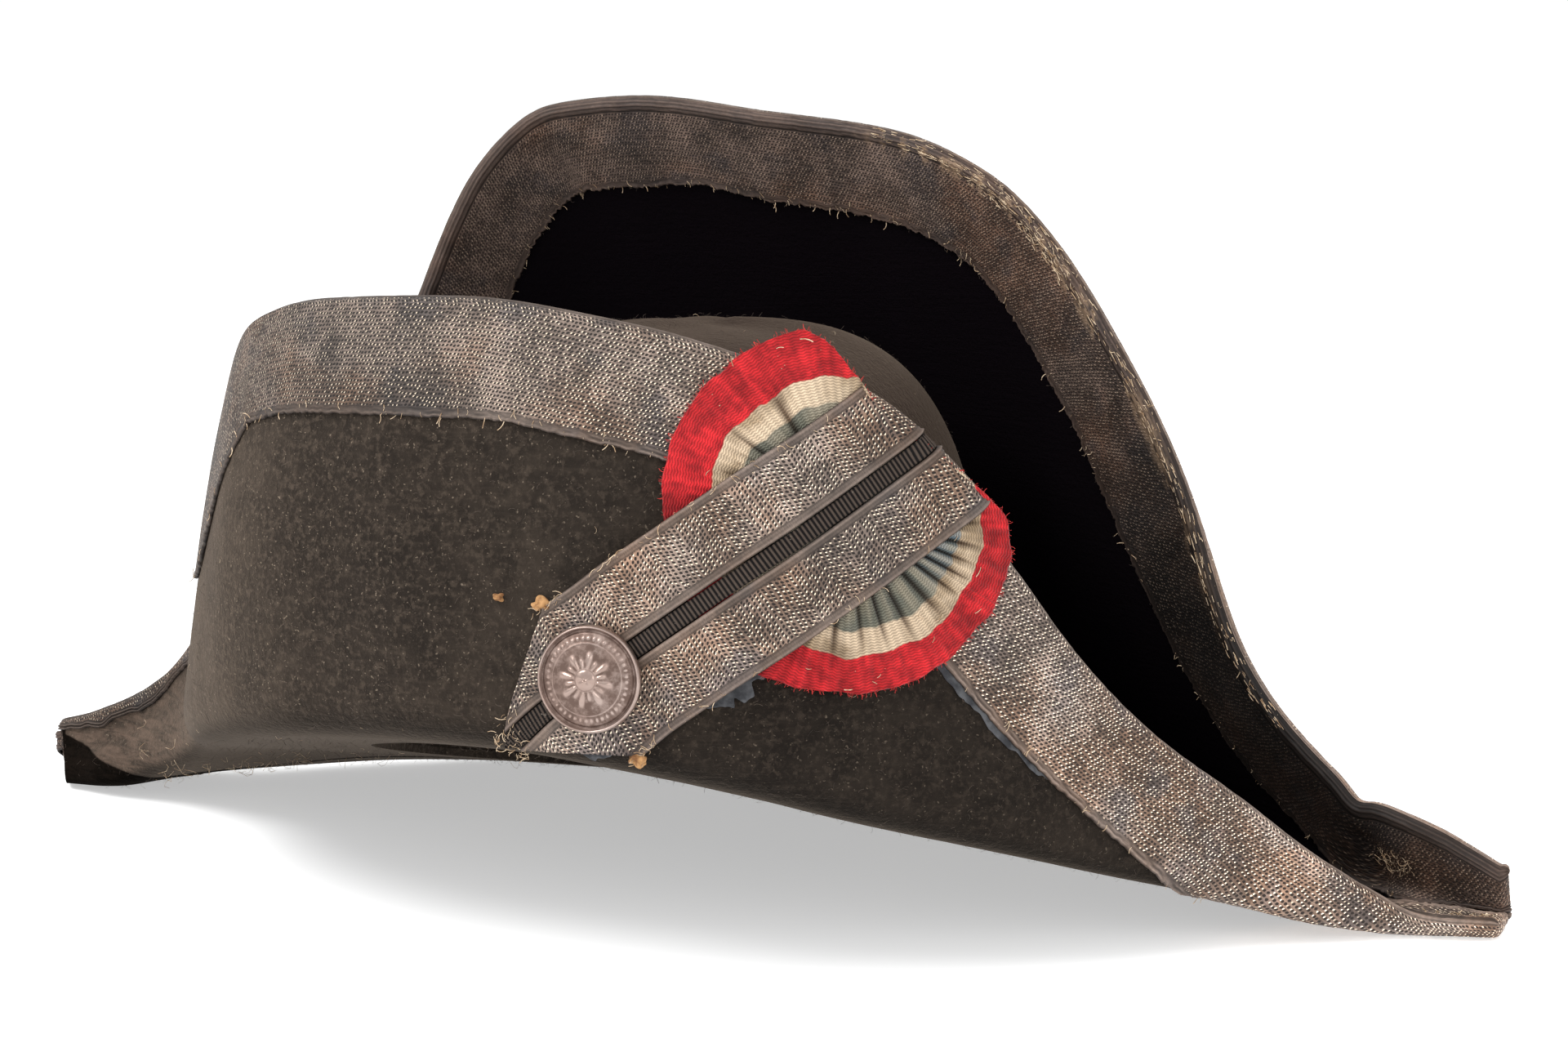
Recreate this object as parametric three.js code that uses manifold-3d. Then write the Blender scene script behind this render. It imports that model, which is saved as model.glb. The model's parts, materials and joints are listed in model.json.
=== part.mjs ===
import * as THREE from "three";
import Module from "manifold-3d";

// Millimetres. X runs from horn to horn, the low flap faces -Y, Z is up and the table is z = 0.
const halfLength = 222; // head centre to horn tip
const halfDepth = 119; // head centre to the front fold
const rearHeight = 206; // table to the top of the tall flap
const feltThickness = 2.6;
const foldRound = 13; // how far each long fold is rounded
const rearBow = 0.075; // outward bow of the tall flap, a share of its length
const frontBow = 0.025;
const tipSkew = -0.9; // the left tip is cut on a slant

const crownHalfWidth = 80;
const crownHalfDepth = 96;
const crownCentreY = -4;
const crownTop = 145.5; // table to the top of the crown
const crownLean = 10; // the crown leans back this far at its top
const crownSquareness = 3.2;
const holeLedge = 0.5; // felt left inside the crown wall at the mouth

const gap = 0.55; // clearance between sewn pieces
const laceWidth = 26;
const laceThickness = 0.9;
const laceInset = 0.6; // lace stops this far short of the felt's own edge

const cockadeRadius = 41;
const cockadeHole = 5;
const cockadeThickness = 1.5;
const cockadePleats = 16;
const pleatHeight = 0.7;
const cockadeStation = 89; // where it sits along X
const cockadeDrop = 23; // its centre under the flap's edge

const loopStation = 100; // where the loop crosses the flap's edge
const loopLength = 121;
const loopHalfWidth = 20.5;
const loopPoint = 28; // length of the pointed end
const ribbonWidth = 5.5;
const stripGap = 0.4;
const stripThickness = 1;
const loopTuck = 14; // part of the loop inside the flap
const foldClearance = 0.5; // extra room where the point bends round the fold
const loopSkew = 0.2; // the loop slants this much from square to the edge

const buttonRadius = 12.5;
const buttonHeight = 4.2;
const buttonAlong = 90; // button centre, measured down the loop
const buttonClear = 0.4; // from the lace under it

// The brim, one row a section: station is a share of halfLength, the Y columns shares of halfDepth and the
// Z columns shares of rearHeight.
const brimColumns = ["station", "edgeY", "edgeZ", "foldY", "foldZ", "backFoldY", "backFoldZ", "backEdgeY",
  "backEdgeZ"];
const brimRows = [
  [-0.968, -0.092, 0.087, -0.126, 0.012, 0.076, 0.012, 0.109, 0.044],
  [-0.833, -0.118, 0.126, -0.176, 0.024, 0.235, 0.011, 0.143, 0.117],
  [-0.743, -0.143, 0.175, -0.218, 0.051, 0.353, 0.01, 0.185, 0.204],
  [-0.667, -0.202, 0.243, -0.286, 0.083, 0.487, 0.008, 0.227, 0.301],
  [-0.604, -0.294, 0.306, -0.387, 0.119, 0.588, 0.006, 0.261, 0.417],
  [-0.518, -0.521, 0.408, -0.597, 0.158, 0.706, 0.004, 0.303, 0.641],
  [-0.401, -0.739, 0.578, -0.807, 0.194, 0.79, -0.001, 0.37, 0.908],
  [-0.315, -0.832, 0.704, -0.891, 0.218, 0.832, -0.004, 0.395, 0.985],
  [-0.18, -0.924, 0.75, -0.966, 0.24, 0.874, -0.007, 0.412, 1],
  [0, -0.958, 0.757, -1, 0.25, 0.891, -0.007, 0.42, 0.981],
  [0.18, -0.924, 0.738, -0.966, 0.235, 0.874, -0.007, 0.412, 0.949],
  [0.315, -0.84, 0.699, -0.891, 0.209, 0.832, -0.004, 0.387, 0.883],
  [0.396, -0.748, 0.658, -0.815, 0.184, 0.79, -0.001, 0.37, 0.806],
  [0.532, -0.555, 0.481, -0.63, 0.138, 0.697, 0.004, 0.303, 0.607],
  [0.586, -0.437, 0.364, -0.521, 0.117, 0.63, 0.006, 0.277, 0.5],
  [0.653, -0.294, 0.252, -0.378, 0.085, 0.521, 0.008, 0.235, 0.325],
  [0.73, -0.168, 0.172, -0.244, 0.051, 0.403, 0.01, 0.202, 0.218],
  [0.82, -0.084, 0.085, -0.101, 0.024, 0.286, 0.011, 0.176, 0.146],
  [0.91, -0.084, 0.039, -0.042, 0.012, 0.21, 0.012, 0.16, 0.121],
  [0.982, -0.034, 0.027, 0.008, 0.012, 0.16, 0.012, 0.134, 0.085],
];

const clamp = (v, lo, hi) => Math.min(hi, Math.max(lo, v));
const mix = (a, b, t) => a + (b - a) * t;
const smooth = (t) => { const c = clamp(t, 0, 1); return c * c * (3 - 2 * c); };

// A curve through one column that never overshoots its rows.
function columnCurve(name) {
  const k = brimColumns.indexOf(name);
  const x = brimRows.map((r) => r[0]);
  const y = brimRows.map((r) => r[k]);
  const d = x.slice(1).map((v, i) => (y[i + 1] - y[i]) / (v - x[i]));
  const m = x.map((_, i) => {
    if (i === 0) return d[0];
    if (i === x.length - 1) return d[i - 1];
    if (d[i - 1] * d[i] <= 0) return 0;
    const before = x[i] - x[i - 1];
    const after = x[i + 1] - x[i];
    return (3 * (before + after)) / ((2 * after + before) / d[i - 1] + (after + 2 * before) / d[i]);
  });
  return (s) => {
    let i = 0;
    while (i < x.length - 2 && s > x[i + 1]) i++;
    const h = x[i + 1] - x[i];
    const t = (s - x[i]) / h;
    return y[i] * (1 + 2 * t) * (1 - t) ** 2 + m[i] * h * t * (1 - t) ** 2
      + y[i + 1] * t * t * (3 - 2 * t) + m[i + 1] * h * t * t * (t - 1);
  };
}
const column = Object.fromEntries(brimColumns.slice(1).map((n) => [n, columnCurve(n)]));
const firstStation = brimRows[0][0] * halfLength;
const lastStation = brimRows[brimRows.length - 1][0] * halfLength;

function corners(x) {
  const s = clamp(x, firstStation, lastStation) / halfLength;
  const at = (y, z) => new THREE.Vector2(column[y](s) * halfDepth, column[z](s) * rearHeight);
  return [at("edgeY", "edgeZ"), at("foldY", "foldZ"), at("backFoldY", "backFoldZ"), at("backEdgeY", "backEdgeZ")];
}

// The middle of the felt at one station, from the low flap's edge round both folds to the tall flap's edge.
const flapSteps = 4, foldSteps = 4, baseSteps = 3;
function sectionLine(x) {
  const [edge, fold, backFold, backEdge] = corners(x);
  const front = edge.distanceTo(fold), base = fold.distanceTo(backFold), back = backFold.distanceTo(backEdge);
  const round = Math.min(foldRound, 0.45 * front, 0.45 * base);
  const backRound = Math.min(foldRound, 0.45 * back, 0.45 * base);
  const toward = (a, b, d) => b.clone().sub(a).normalize().multiplyScalar(d).add(a);
  const line = [];
  const straight = (a, b, n, bow, first) => {
    const side = new THREE.Vector2(b.y - a.y, a.x - b.x).multiplyScalar(bow);
    for (let i = first; i <= n; i++) {
      const t = i / n;
      line.push(a.clone().lerp(b, t).addScaledVector(side, 4 * t * (1 - t)));
    }
  };
  const bend = (a, c, b) => {
    for (let i = 1; i <= foldSteps; i++) {
      const t = i / foldSteps;
      line.push(a.clone().multiplyScalar((1 - t) ** 2).addScaledVector(c, 2 * t * (1 - t)).addScaledVector(b, t * t));
    }
  };
  const a1 = toward(fold, edge, round), b1 = toward(fold, backFold, round);
  const a2 = toward(backFold, fold, backRound), b2 = toward(backFold, backEdge, backRound);
  straight(edge, a1, flapSteps, -frontBow, 0);
  bend(a1, fold, b1);
  straight(b1, a2, baseSteps, 0, 1);
  bend(a2, backFold, b2);
  straight(b2, backEdge, flapSteps, rearBow, 1);
  return line;
}

const lineStore = new Map();
function measured(x) {
  const key = x.toFixed(4);
  if (!lineStore.has(key)) {
    const line = sectionLine(x);
    const run = [0];
    for (let i = 1; i < line.length; i++) run.push(run[i - 1] + line[i].distanceTo(line[i - 1]));
    lineStore.set(key, { line, run, length: run[run.length - 1] });
  }
  return lineStore.get(key);
}

const skewAt = (x) => tipSkew * smooth((0.86 * firstStation - x) / (-0.14 * firstStation));
const place = (x, p) => new THREE.Vector3(x + skewAt(x) * p.x, p.x, p.y);

// A point on the middle of the felt: v is the distance along the section from the low flap's edge.
function feltPoint(x, v) {
  const { line, run, length } = measured(x);
  let i = 0;
  while (i < line.length - 2 && v > run[i + 1]) i++;
  const t = (v - run[i]) / (run[i + 1] - run[i]);
  return place(x, line[i].clone().lerp(line[i + 1], v < 0 || v > length ? t : clamp(t, 0, 1)));
}

function feltFrame(x, v) {
  const e = 0.8;
  const x0 = Math.max(x - e, firstStation), x1 = Math.min(x + e, lastStation);
  const alongX = feltPoint(x1, v).sub(feltPoint(x0, v)).divideScalar(x1 - x0);
  const alongV = feltPoint(x, v + 1.5).sub(feltPoint(x, v - 1.5)).divideScalar(3);
  const out = alongV.clone().cross(alongX).normalize();
  return { alongX, alongV, out };
}

const lifted = (x, v, h) => feltPoint(x, v).addScaledVector(feltFrame(x, v).out, h);

// Walks over the felt from (x, v) in direction way, returning the place reached after each step.
function walk(x, v, way, length, steps) {
  const places = [{ x, v, way: way.clone() }];
  for (let i = 0; i < steps; i++) {
    const { alongX, alongV, out } = feltFrame(x, v);
    way = way.clone().addScaledVector(out, -way.dot(out)).normalize();
    const xx = alongX.dot(alongX), xv = alongX.dot(alongV), vv = alongV.dot(alongV);
    const wx = way.dot(alongX), wv = way.dot(alongV);
    const det = xx * vv - xv * xv;
    x += (length / steps) * (wx * vv - wv * xv) / det;
    v += (length / steps) * (wv * xx - wx * xv) / det;
    places.push({ x, v, way });
  }
  return places;
}

// A closed sheet between two grids of points. With wrap, the last row meets the first.
function thickSheet(top, under, wrap) {
  const rows = top.length, cols = top[0].length, corner = [], face = [];
  for (const grid of [top, under]) for (const row of grid) for (const p of row) corner.push(p.x, p.y, p.z);
  const id = (side, i, j) => (side * rows + (i % rows)) * cols + j;
  const quad = (a, b, c, d) => face.push(a, b, c, a, c, d);
  const spans = wrap ? rows : rows - 1;
  for (let i = 0; i < spans; i++) {
    for (let j = 0; j < cols - 1; j++) {
      quad(id(0, i, j), id(0, i + 1, j), id(0, i + 1, j + 1), id(0, i, j + 1));
      quad(id(1, i, j), id(1, i, j + 1), id(1, i + 1, j + 1), id(1, i + 1, j));
    }
    quad(id(0, i, 0), id(1, i, 0), id(1, i + 1, 0), id(0, i + 1, 0));
    quad(id(0, i, cols - 1), id(0, i + 1, cols - 1), id(1, i + 1, cols - 1), id(1, i, cols - 1));
  }
  if (!wrap) for (let j = 0; j < cols - 1; j++) {
    quad(id(0, 0, j), id(0, 0, j + 1), id(1, 0, j + 1), id(1, 0, j));
    quad(id(0, rows - 1, j), id(1, rows - 1, j), id(1, rows - 1, j + 1), id(0, rows - 1, j + 1));
  }
  return faced(corner, face);
}

// Turns the faces outward if the body comes out inside out.
function faced(corner, face) {
  const at = (i) => new THREE.Vector3(corner[3 * i], corner[3 * i + 1], corner[3 * i + 2]);
  let volume = 0;
  for (let i = 0; i < face.length; i += 3) volume += at(face[i]).dot(at(face[i + 1]).cross(at(face[i + 2])));
  if (volume < 0) for (let i = 0; i < face.length; i += 3) [face[i], face[i + 1]] = [face[i + 1], face[i]];
  return { corner, face };
}

const wasm = await Module();
wasm.setup();
const solid = ({ corner, face }) => new wasm.Manifold(new wasm.Mesh({
  numProp: 3, vertProperties: new Float32Array(corner), triVerts: new Uint32Array(face),
}));

function toGeometry({ corner, face }) {
  const g = new THREE.BufferGeometry();
  g.setAttribute("position", new THREE.BufferAttribute(new Float32Array(corner), 3));
  g.setIndex(Array.from(face));
  return g;
}

// The room under the table; what would sink into it is pressed flat instead.
function underTable() {
  const wide = 2 * halfLength;
  const corner = [], face = [0, 2, 1, 0, 3, 2, 4, 5, 6, 4, 6, 7, 0, 1, 5, 0, 5, 4, 1, 2, 6, 1, 6, 5, 2, 3, 7, 2, 7, 6,
    3, 0, 4, 3, 4, 7];
  for (const z of [-feltThickness * 4, 0]) {
    for (const [x, y] of [[-1, -1], [1, -1], [1, 1], [-1, 1]]) corner.push(x * wide, y * wide, z);
  }
  return solid(faced(corner, face));
}

// The largest body of a solid, as geometry.
function fromSolid(whole) {
  const m = whole.subtract(underTable()).decompose().sort((a, b) => b.volume() - a.volume())[0].getMesh();
  return toGeometry({ corner: m.vertProperties, face: m.triVerts });
}

// Stations along the hat, closer together where the flaps turn in to the horns.
const brimStations = 33;
function stationList(count) {
  const bend = 0.55 * halfLength, spread = 0.16 * halfLength;
  const pace = (x) => 1 / (1 + 1.6 * Math.exp(-(((Math.abs(x) - bend) / spread) ** 2)));
  const fine = 400, run = [0];
  for (let i = 1; i <= fine; i++) {
    run.push(run[i - 1] + 1 / pace(mix(firstStation, lastStation, (i - 0.5) / fine)));
  }
  return Array.from({ length: count + 1 }, (_, k) => {
    const goal = (run[fine] * k) / count;
    let i = 0;
    while (i < fine - 1 && run[i + 1] < goal) i++;
    return mix(firstStation, lastStation, (i + (goal - run[i]) / (run[i + 1] - run[i])) / fine);
  });
}

// Two layers of points over the whole brim, kept inset from its edges and offset from the middle of the felt.
function brimShell(near, far, inset) {
  const layer = (h) => stationList(brimStations).map((x) => {
    const at = clamp(x, firstStation + inset, lastStation - inset);
    const { run, length } = measured(at);
    return run.map((v) => lifted(at, clamp(v, inset, length - inset), h));
  });
  return thickSheet(layer(far), layer(near), false);
}

// Height of the middle of the brim's underside at a place under the crown.
function baseHeight(x, y) {
  const [, fold, backFold] = corners(x);
  return mix(fold.y, backFold.y, (y - fold.x) / (backFold.x - fold.x));
}

const crownSides = 40, crownRings = 7;
function crownSurface(inset) {
  const rings = [];
  for (let k = 0; k < crownRings; k++) {
    const turn = (k / crownRings) * Math.PI * 0.5;
    const wide = Math.cos(turn) ** (2 / crownSquareness);
    const rise = Math.sin(turn) ** (2 / crownSquareness);
    rings.push(Array.from({ length: crownSides }, (_, i) => {
      const a = (i / crownSides) * 2 * Math.PI;
      const x = (crownHalfWidth - inset) * wide * Math.cos(a);
      const flat = (crownHalfDepth - inset) * wide * Math.sin(a) + crownCentreY;
      const foot = baseHeight((crownHalfWidth - inset) * Math.cos(a),
        (crownHalfDepth - inset) * Math.sin(a) + crownCentreY);
      return new THREE.Vector3(x, flat + crownLean * rise, mix(foot, crownTop - inset, rise));
    }));
  }
  return { rings, pole: new THREE.Vector3(0, crownCentreY + crownLean, crownTop - inset) };
}

function buildCrown() {
  const outside = crownSurface(0), inside = crownSurface(feltThickness);
  const corner = [], face = [];
  for (const s of [outside, inside]) {
    for (const ring of s.rings) for (const p of ring) corner.push(p.x, p.y, p.z);
    corner.push(s.pole.x, s.pole.y, s.pole.z);
  }
  const block = crownRings * crownSides + 1;
  const id = (side, k, i) => side * block + k * crownSides + (i % crownSides);
  for (let i = 0; i < crownSides; i++) {
    for (let k = 0; k < crownRings - 1; k++) {
      face.push(id(0, k, i), id(0, k, i + 1), id(0, k + 1, i + 1), id(0, k, i), id(0, k + 1, i + 1), id(0, k + 1, i));
      face.push(id(1, k, i), id(1, k + 1, i + 1), id(1, k, i + 1), id(1, k, i), id(1, k + 1, i), id(1, k + 1, i + 1));
    }
    face.push(id(0, crownRings - 1, i), id(0, crownRings - 1, i + 1), block - 1);
    face.push(id(1, crownRings - 1, i), 2 * block - 1, id(1, crownRings - 1, i + 1));
    face.push(id(0, 0, i), id(1, 0, i), id(1, 0, i + 1), id(0, 0, i), id(1, 0, i + 1), id(0, 0, i + 1));
  }
  return faced(corner, face);
}

// The mouth for the head: a plug that follows the underside and stops just above it.
function buildMouth() {
  const inset = feltThickness + holeLedge, reach = 3 * feltThickness;
  const top = [], under = [];
  for (let i = 0; i < crownSides; i++) {
    const a = (i / crownSides) * 2 * Math.PI;
    const x = (crownHalfWidth - inset) * Math.cos(a), y = (crownHalfDepth - inset) * Math.sin(a) + crownCentreY;
    const z = baseHeight(x, y);
    top.push([x, y, z + reach]);
    under.push([x, y, z - reach]);
  }
  const middle = baseHeight(0, crownCentreY), last = 2 * crownSides;
  const corner = [...top, ...under, [0, crownCentreY, middle + reach], [0, crownCentreY, middle - reach]].flat();
  const face = [];
  for (let i = 0; i < crownSides; i++) {
    const j = (i + 1) % crownSides, low = crownSides;
    face.push(i, j, last, low + j, low + i, last + 1, i, low + i, low + j, i, low + j, j);
  }
  return faced(corner, face);
}

function buildFelt() {
  const half = feltThickness / 2;
  return fromSolid(solid(brimShell(-half, half, 0)).subtract(solid(buildMouth())).add(solid(buildCrown())));
}

// Where the lace's inner margin runs: for both flaps, the distance down the section at each station.
function marginCurve(fromBack) {
  const points = [];
  for (const x of stationList(70)) {
    const edge = (at) => (fromBack ? measured(at).length : 0);
    const v = edge(x), before = Math.max(x - 1, firstStation), after = Math.min(x + 1, lastStation);
    const along = feltPoint(after, edge(after)).sub(feltPoint(before, edge(before))).normalize();
    const down = feltFrame(x, v).alongV.multiplyScalar(fromBack ? -1 : 1);
    const way = down.addScaledVector(along, -down.dot(along)).normalize();
    const end = walk(x, v, way, laceWidth, 6).pop();
    const length = measured(clamp(end.x, firstStation, lastStation)).length;
    points.push([end.x, fromBack ? length - end.v : end.v]);
  }
  points.sort((a, b) => a[0] - b[0]);
  return (x) => {
    let i = 0;
    while (i < points.length - 2 && x > points[i + 1][0]) i++;
    const t = clamp((x - points[i][0]) / (points[i + 1][0] - points[i][0]), 0, 1);
    return mix(points[i][1], points[i + 1][1], t);
  };
}

const frontMargin = marginCurve(false), backMargin = marginCurve(true);

// What the lace leaves bare: the felt further in than its margin.
function bareSheet(near, far) {
  const span = (x) => [frontMargin(x), measured(x).length - backMargin(x)];
  const open = stationList(300).filter((x) => x > firstStation + laceWidth && x < lastStation - laceWidth
    && span(x)[1] - span(x)[0] > 2);
  const first = open[0], last = open[open.length - 1];
  const rows = [first, ...stationList(2 * brimStations).filter((x) => x > first + 1 && x < last - 1), last];
  const layer = (h) => rows.map((x) => {
    const [from, to] = span(x);
    const { run } = measured(x), step = (to - from) / 400, n = run.length - 1;
    return run.map((v, k) => lifted(x, clamp(v, from + k * step, to - (n - k) * step), h));
  });
  return thickSheet(layer(far), layer(near), false);
}

function buildLace(side) {
  const near = feltThickness / 2 + gap, far = near + laceThickness;
  const whole = side > 0 ? brimShell(near, far, laceInset) : brimShell(-far, -near, laceInset);
  const bare = side > 0 ? bareSheet(near - 1.2, far + 1.6) : bareSheet(-far - 1.6, -near + 1.2);
  return fromSolid(solid(whole).subtract(solid(bare)));
}

const laceTop = feltThickness / 2 + gap + laceThickness;
const cockadeUnder = laceTop + gap;
const cockadeTop = cockadeUnder + cockadeThickness + pleatHeight;

// A gathered disc that lies on the flap, its pleats deepest near the middle.
function buildCockade() {
  const sides = cockadePleats * 4, rings = 3;
  const { alongX, alongV } = feltFrame(cockadeStation, cockadeDrop);
  const across = alongX.clone().normalize();
  const down = alongV.clone().addScaledVector(across, -alongV.dot(across)).normalize();
  const top = [], under = [];
  for (let i = 0; i < sides; i++) {
    const a = (i / sides) * 2 * Math.PI;
    const way = across.clone().multiplyScalar(Math.cos(a)).addScaledVector(down, Math.sin(a));
    const path = walk(cockadeStation, cockadeDrop, way, cockadeRadius, 10);
    const row = [], back = [];
    for (let k = 0; k <= rings; k++) {
      const r = mix(cockadeHole, cockadeRadius, k / rings);
      const f = (r / cockadeRadius) * 10, n = Math.min(9, Math.floor(f));
      const x = mix(path[n].x, path[n + 1].x, f - n), v = mix(path[n].v, path[n + 1].v, f - n);
      const wave = pleatHeight * (1 - 0.6 * k / rings) * (0.5 + 0.5 * Math.cos(cockadePleats * a));
      row.push(lifted(x, v, cockadeUnder + cockadeThickness * (1 - 0.25 * k / rings) + wave));
      back.push(lifted(x, v, cockadeUnder));
    }
    top.push(row);
    under.push(back);
  }
  return fromSolid(solid(thickSheet(top, under, true)).subtract(solid(loopTurnBlock()))
    .subtract(solid(pastEdgeBlock())));
}

// The room the loop takes where it turns over the flap's edge; the cockade is cut away there.
function loopTurnBlock() {
  const wide = loopHalfWidth + gap, across = 6;
  const rows = [
    ...Array.from({ length: 9 }, (_, i) => (b, h) => loopOverEdge(mix(turnLength + loopTuck, 0.1, i / 8), b, h)),
    (b, h) => loopOnFlap(crossing(b) + 3, b, h),
  ];
  const layer = (h) => rows.map((row) => Array.from({ length: across + 1 }, (_, j) =>
    row(mix(-wide, wide, j / across), h)));
  return thickSheet(layer(stripThickness + 1.5), layer(-1.6), false);
}

// Past the flap's edge, from the loop outward, the cockade is folded away out of sight.
function pastEdgeBlock() {
  const from = -loopHalfWidth - 0.9 * cockadeRadius, to = loopHalfWidth + gap;
  const layer = (h) => Array.from({ length: 5 }, (_, i) => Array.from({ length: 9 }, (_, j) => {
    const b = mix(from, to, j / 8), p = loopPlace(mix(-loopLead, crossing(b) - 1, i / 4), b);
    return lifted(p.x, p.v, h);
  }));
  return thickSheet(layer(cockadeTop + 5), layer(cockadeUnder - 1.5), false);
}

// The loop's middle line, walked down the flap; it starts a little past the flap's edge.
const loopSteps = 48, loopLead = 34;
function loopLine() {
  const { alongX, alongV } = feltFrame(loopStation, 0);
  const along = alongX.clone().normalize();
  const down = alongV.clone().addScaledVector(along, -alongV.dot(along)).normalize();
  const way = down.addScaledVector(along, -loopSkew).normalize();
  const start = walk(loopStation, 0, way.clone().negate(), loopLead, 3).pop();
  return walk(start.x, start.v, way, loopLead + loopLength, loopSteps);
}
const loopPath = loopLine();

// How far the loop rides off the felt: over the cockade, then down on to the bare flap.
function loopLift(t) {
  const over = cockadeTop + gap, bare = feltThickness / 2 + gap;
  const leave = cockadeDrop + cockadeRadius;
  const onLace = smooth((laceWidth + 14 - t) / 10) * laceThickness;
  const onFold = smooth((t - loopLength + 26) / 12) * foldClearance;
  return Math.max(bare + onLace, mix(over, bare, smooth((t - leave) / 16))) + onFold;
}

function loopPlace(t, b) {
  const f = clamp((t + loopLead) / (loopLead + loopLength), 0, 1) * loopSteps;
  const n = Math.min(loopSteps - 1, Math.floor(f));
  const x = mix(loopPath[n].x, loopPath[n + 1].x, f - n), v = mix(loopPath[n].v, loopPath[n + 1].v, f - n);
  const side = loopPath[n].way.clone().cross(feltFrame(x, v).out).normalize();
  return walk(x, v, side.multiplyScalar(Math.sign(b) || 1), Math.abs(b), 3).pop();
}

// Where the loop crosses the flap's edge, measured along it, at b across.
const crossings = new Map();
function crossing(b) {
  if (!crossings.has(b)) {
    let low = -loopLead, high = loopLead;
    for (let i = 0; i < 22; i++) {
      const middle = (low + high) / 2;
      if (loopPlace(middle, b).v < 0) low = middle; else high = middle;
    }
    crossings.set(b, (low + high) / 2);
  }
  return crossings.get(b);
}

const turnLength = Math.PI * (cockadeTop + gap);

// On the flap, a point t along the loop and b across it, h above its underside.
function loopOnFlap(t, b, h) {
  const p = loopPlace(t, b);
  return lifted(p.x, p.v, loopLift(t) + h);
}

// Where the loop turns over the flap's edge and goes down inside, past that edge by the length t.
function loopOverEdge(t, b, h) {
  const start = crossing(b), p = loopPlace(start, b);
  const turn = Math.min(1, t / turnLength);
  const radius = mix(loopLift(start), laceTop + gap, smooth(turn)) + h;
  const { out, alongV } = feltFrame(p.x, p.v);
  const down = alongV.clone().addScaledVector(out, -alongV.dot(out)).normalize();
  return feltPoint(p.x, p.v).addScaledVector(out, radius * Math.cos(turn * Math.PI))
    .addScaledVector(down, Math.max(0, t - turnLength) - radius * Math.sin(turn * Math.PI));
}

function buildStrip(from, to, across) {
  const end = (b) => loopLength - (Math.abs(b) / loopHalfWidth) * loopPoint;
  const over = [turnLength + loopTuck, turnLength + loopTuck / 2, 1, 5 / 6, 4 / 6, 3 / 6, 2 / 6, 1 / 6]
    .map((s) => (s > 1 ? s : s * turnLength));
  const rows = [
    ...over.map((t) => (b, h) => loopOverEdge(t, b, h)),
    ...Array.from({ length: 22 }, (_, i) => (b, h) => loopOnFlap(mix(crossing(b), end(b), i / 21), b, h)),
  ];
  const layer = (h) => rows.map((row) => Array.from({ length: across + 1 }, (_, j) =>
    row(mix(from, to, j / across), h)));
  return toGeometry(thickSheet(layer(stripThickness), layer(0), false));
}

function buildButton() {
  const profile = [[0, 0], [0.9, 0], [1, 0.18], [0.99, 0.36], [0.93, 0.42], [0.86, 0.34], [0.8, 0.5], [0.6, 0.76],
    [0.36, 0.92], [0.33, 1.02], [0.2, 1.1], [0, 1.12]];
  const lathe = new THREE.LatheGeometry(profile.map(([r, z]) => new THREE.Vector2(r * buttonRadius,
    z * buttonHeight)), 24);
  const place = loopPlace(buttonAlong, 0);
  const { out } = feltFrame(place.x, place.v);
  const seat = lifted(place.x, place.v, loopLift(buttonAlong) + stripThickness + buttonClear);
  lathe.applyQuaternion(new THREE.Quaternion().setFromUnitVectors(new THREE.Vector3(0, 1, 0), out));
  lathe.translate(seat.x, seat.y, seat.z);
  return lathe;
}

const group = new THREE.Group();
group.name = "bicorne_hat";
function addPiece(name, geometry, colour, roughness, metalness = 0) {
  const material = new THREE.MeshStandardMaterial({ color: colour, roughness, metalness, name });
  const mesh = new THREE.Mesh(geometry, material);
  mesh.name = name;
  group.add(mesh);
}

addPiece("felt_body", buildFelt(), 0x37302a, 0.95);
addPiece("edge_lace_outer", buildLace(1), 0x746a61, 0.7, 0.2);
addPiece("edge_lace_inner", buildLace(-1), 0x5a4f45, 0.75, 0.2);
addPiece("cockade", buildCockade(), 0xb3201f, 0.85);
addPiece("loop_strip_upper", buildStrip(ribbonWidth / 2 + stripGap, loopHalfWidth, 3), 0x7a7068, 0.65, 0.3);
addPiece("loop_strip_lower", buildStrip(-loopHalfWidth, -ribbonWidth / 2 - stripGap, 3), 0x7a7068, 0.65, 0.3);
addPiece("loop_ribbon", buildStrip(-ribbonWidth / 2, ribbonWidth / 2, 2), 0x1d1b1c, 0.8);
addPiece("button", buildButton(), 0xa08880, 0.4, 0.9);

// The origin goes to the middle of the whole hat's underside.
const box = new THREE.Box3().setFromObject(group);
const middle = box.getCenter(new THREE.Vector3());
for (const mesh of group.children) mesh.geometry.translate(-middle.x, -middle.y, -box.min.z);

export default group;
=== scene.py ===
import bmesh
import bpy
import json
import math
import numpy as np
from mathutils import Matrix, Vector

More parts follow.
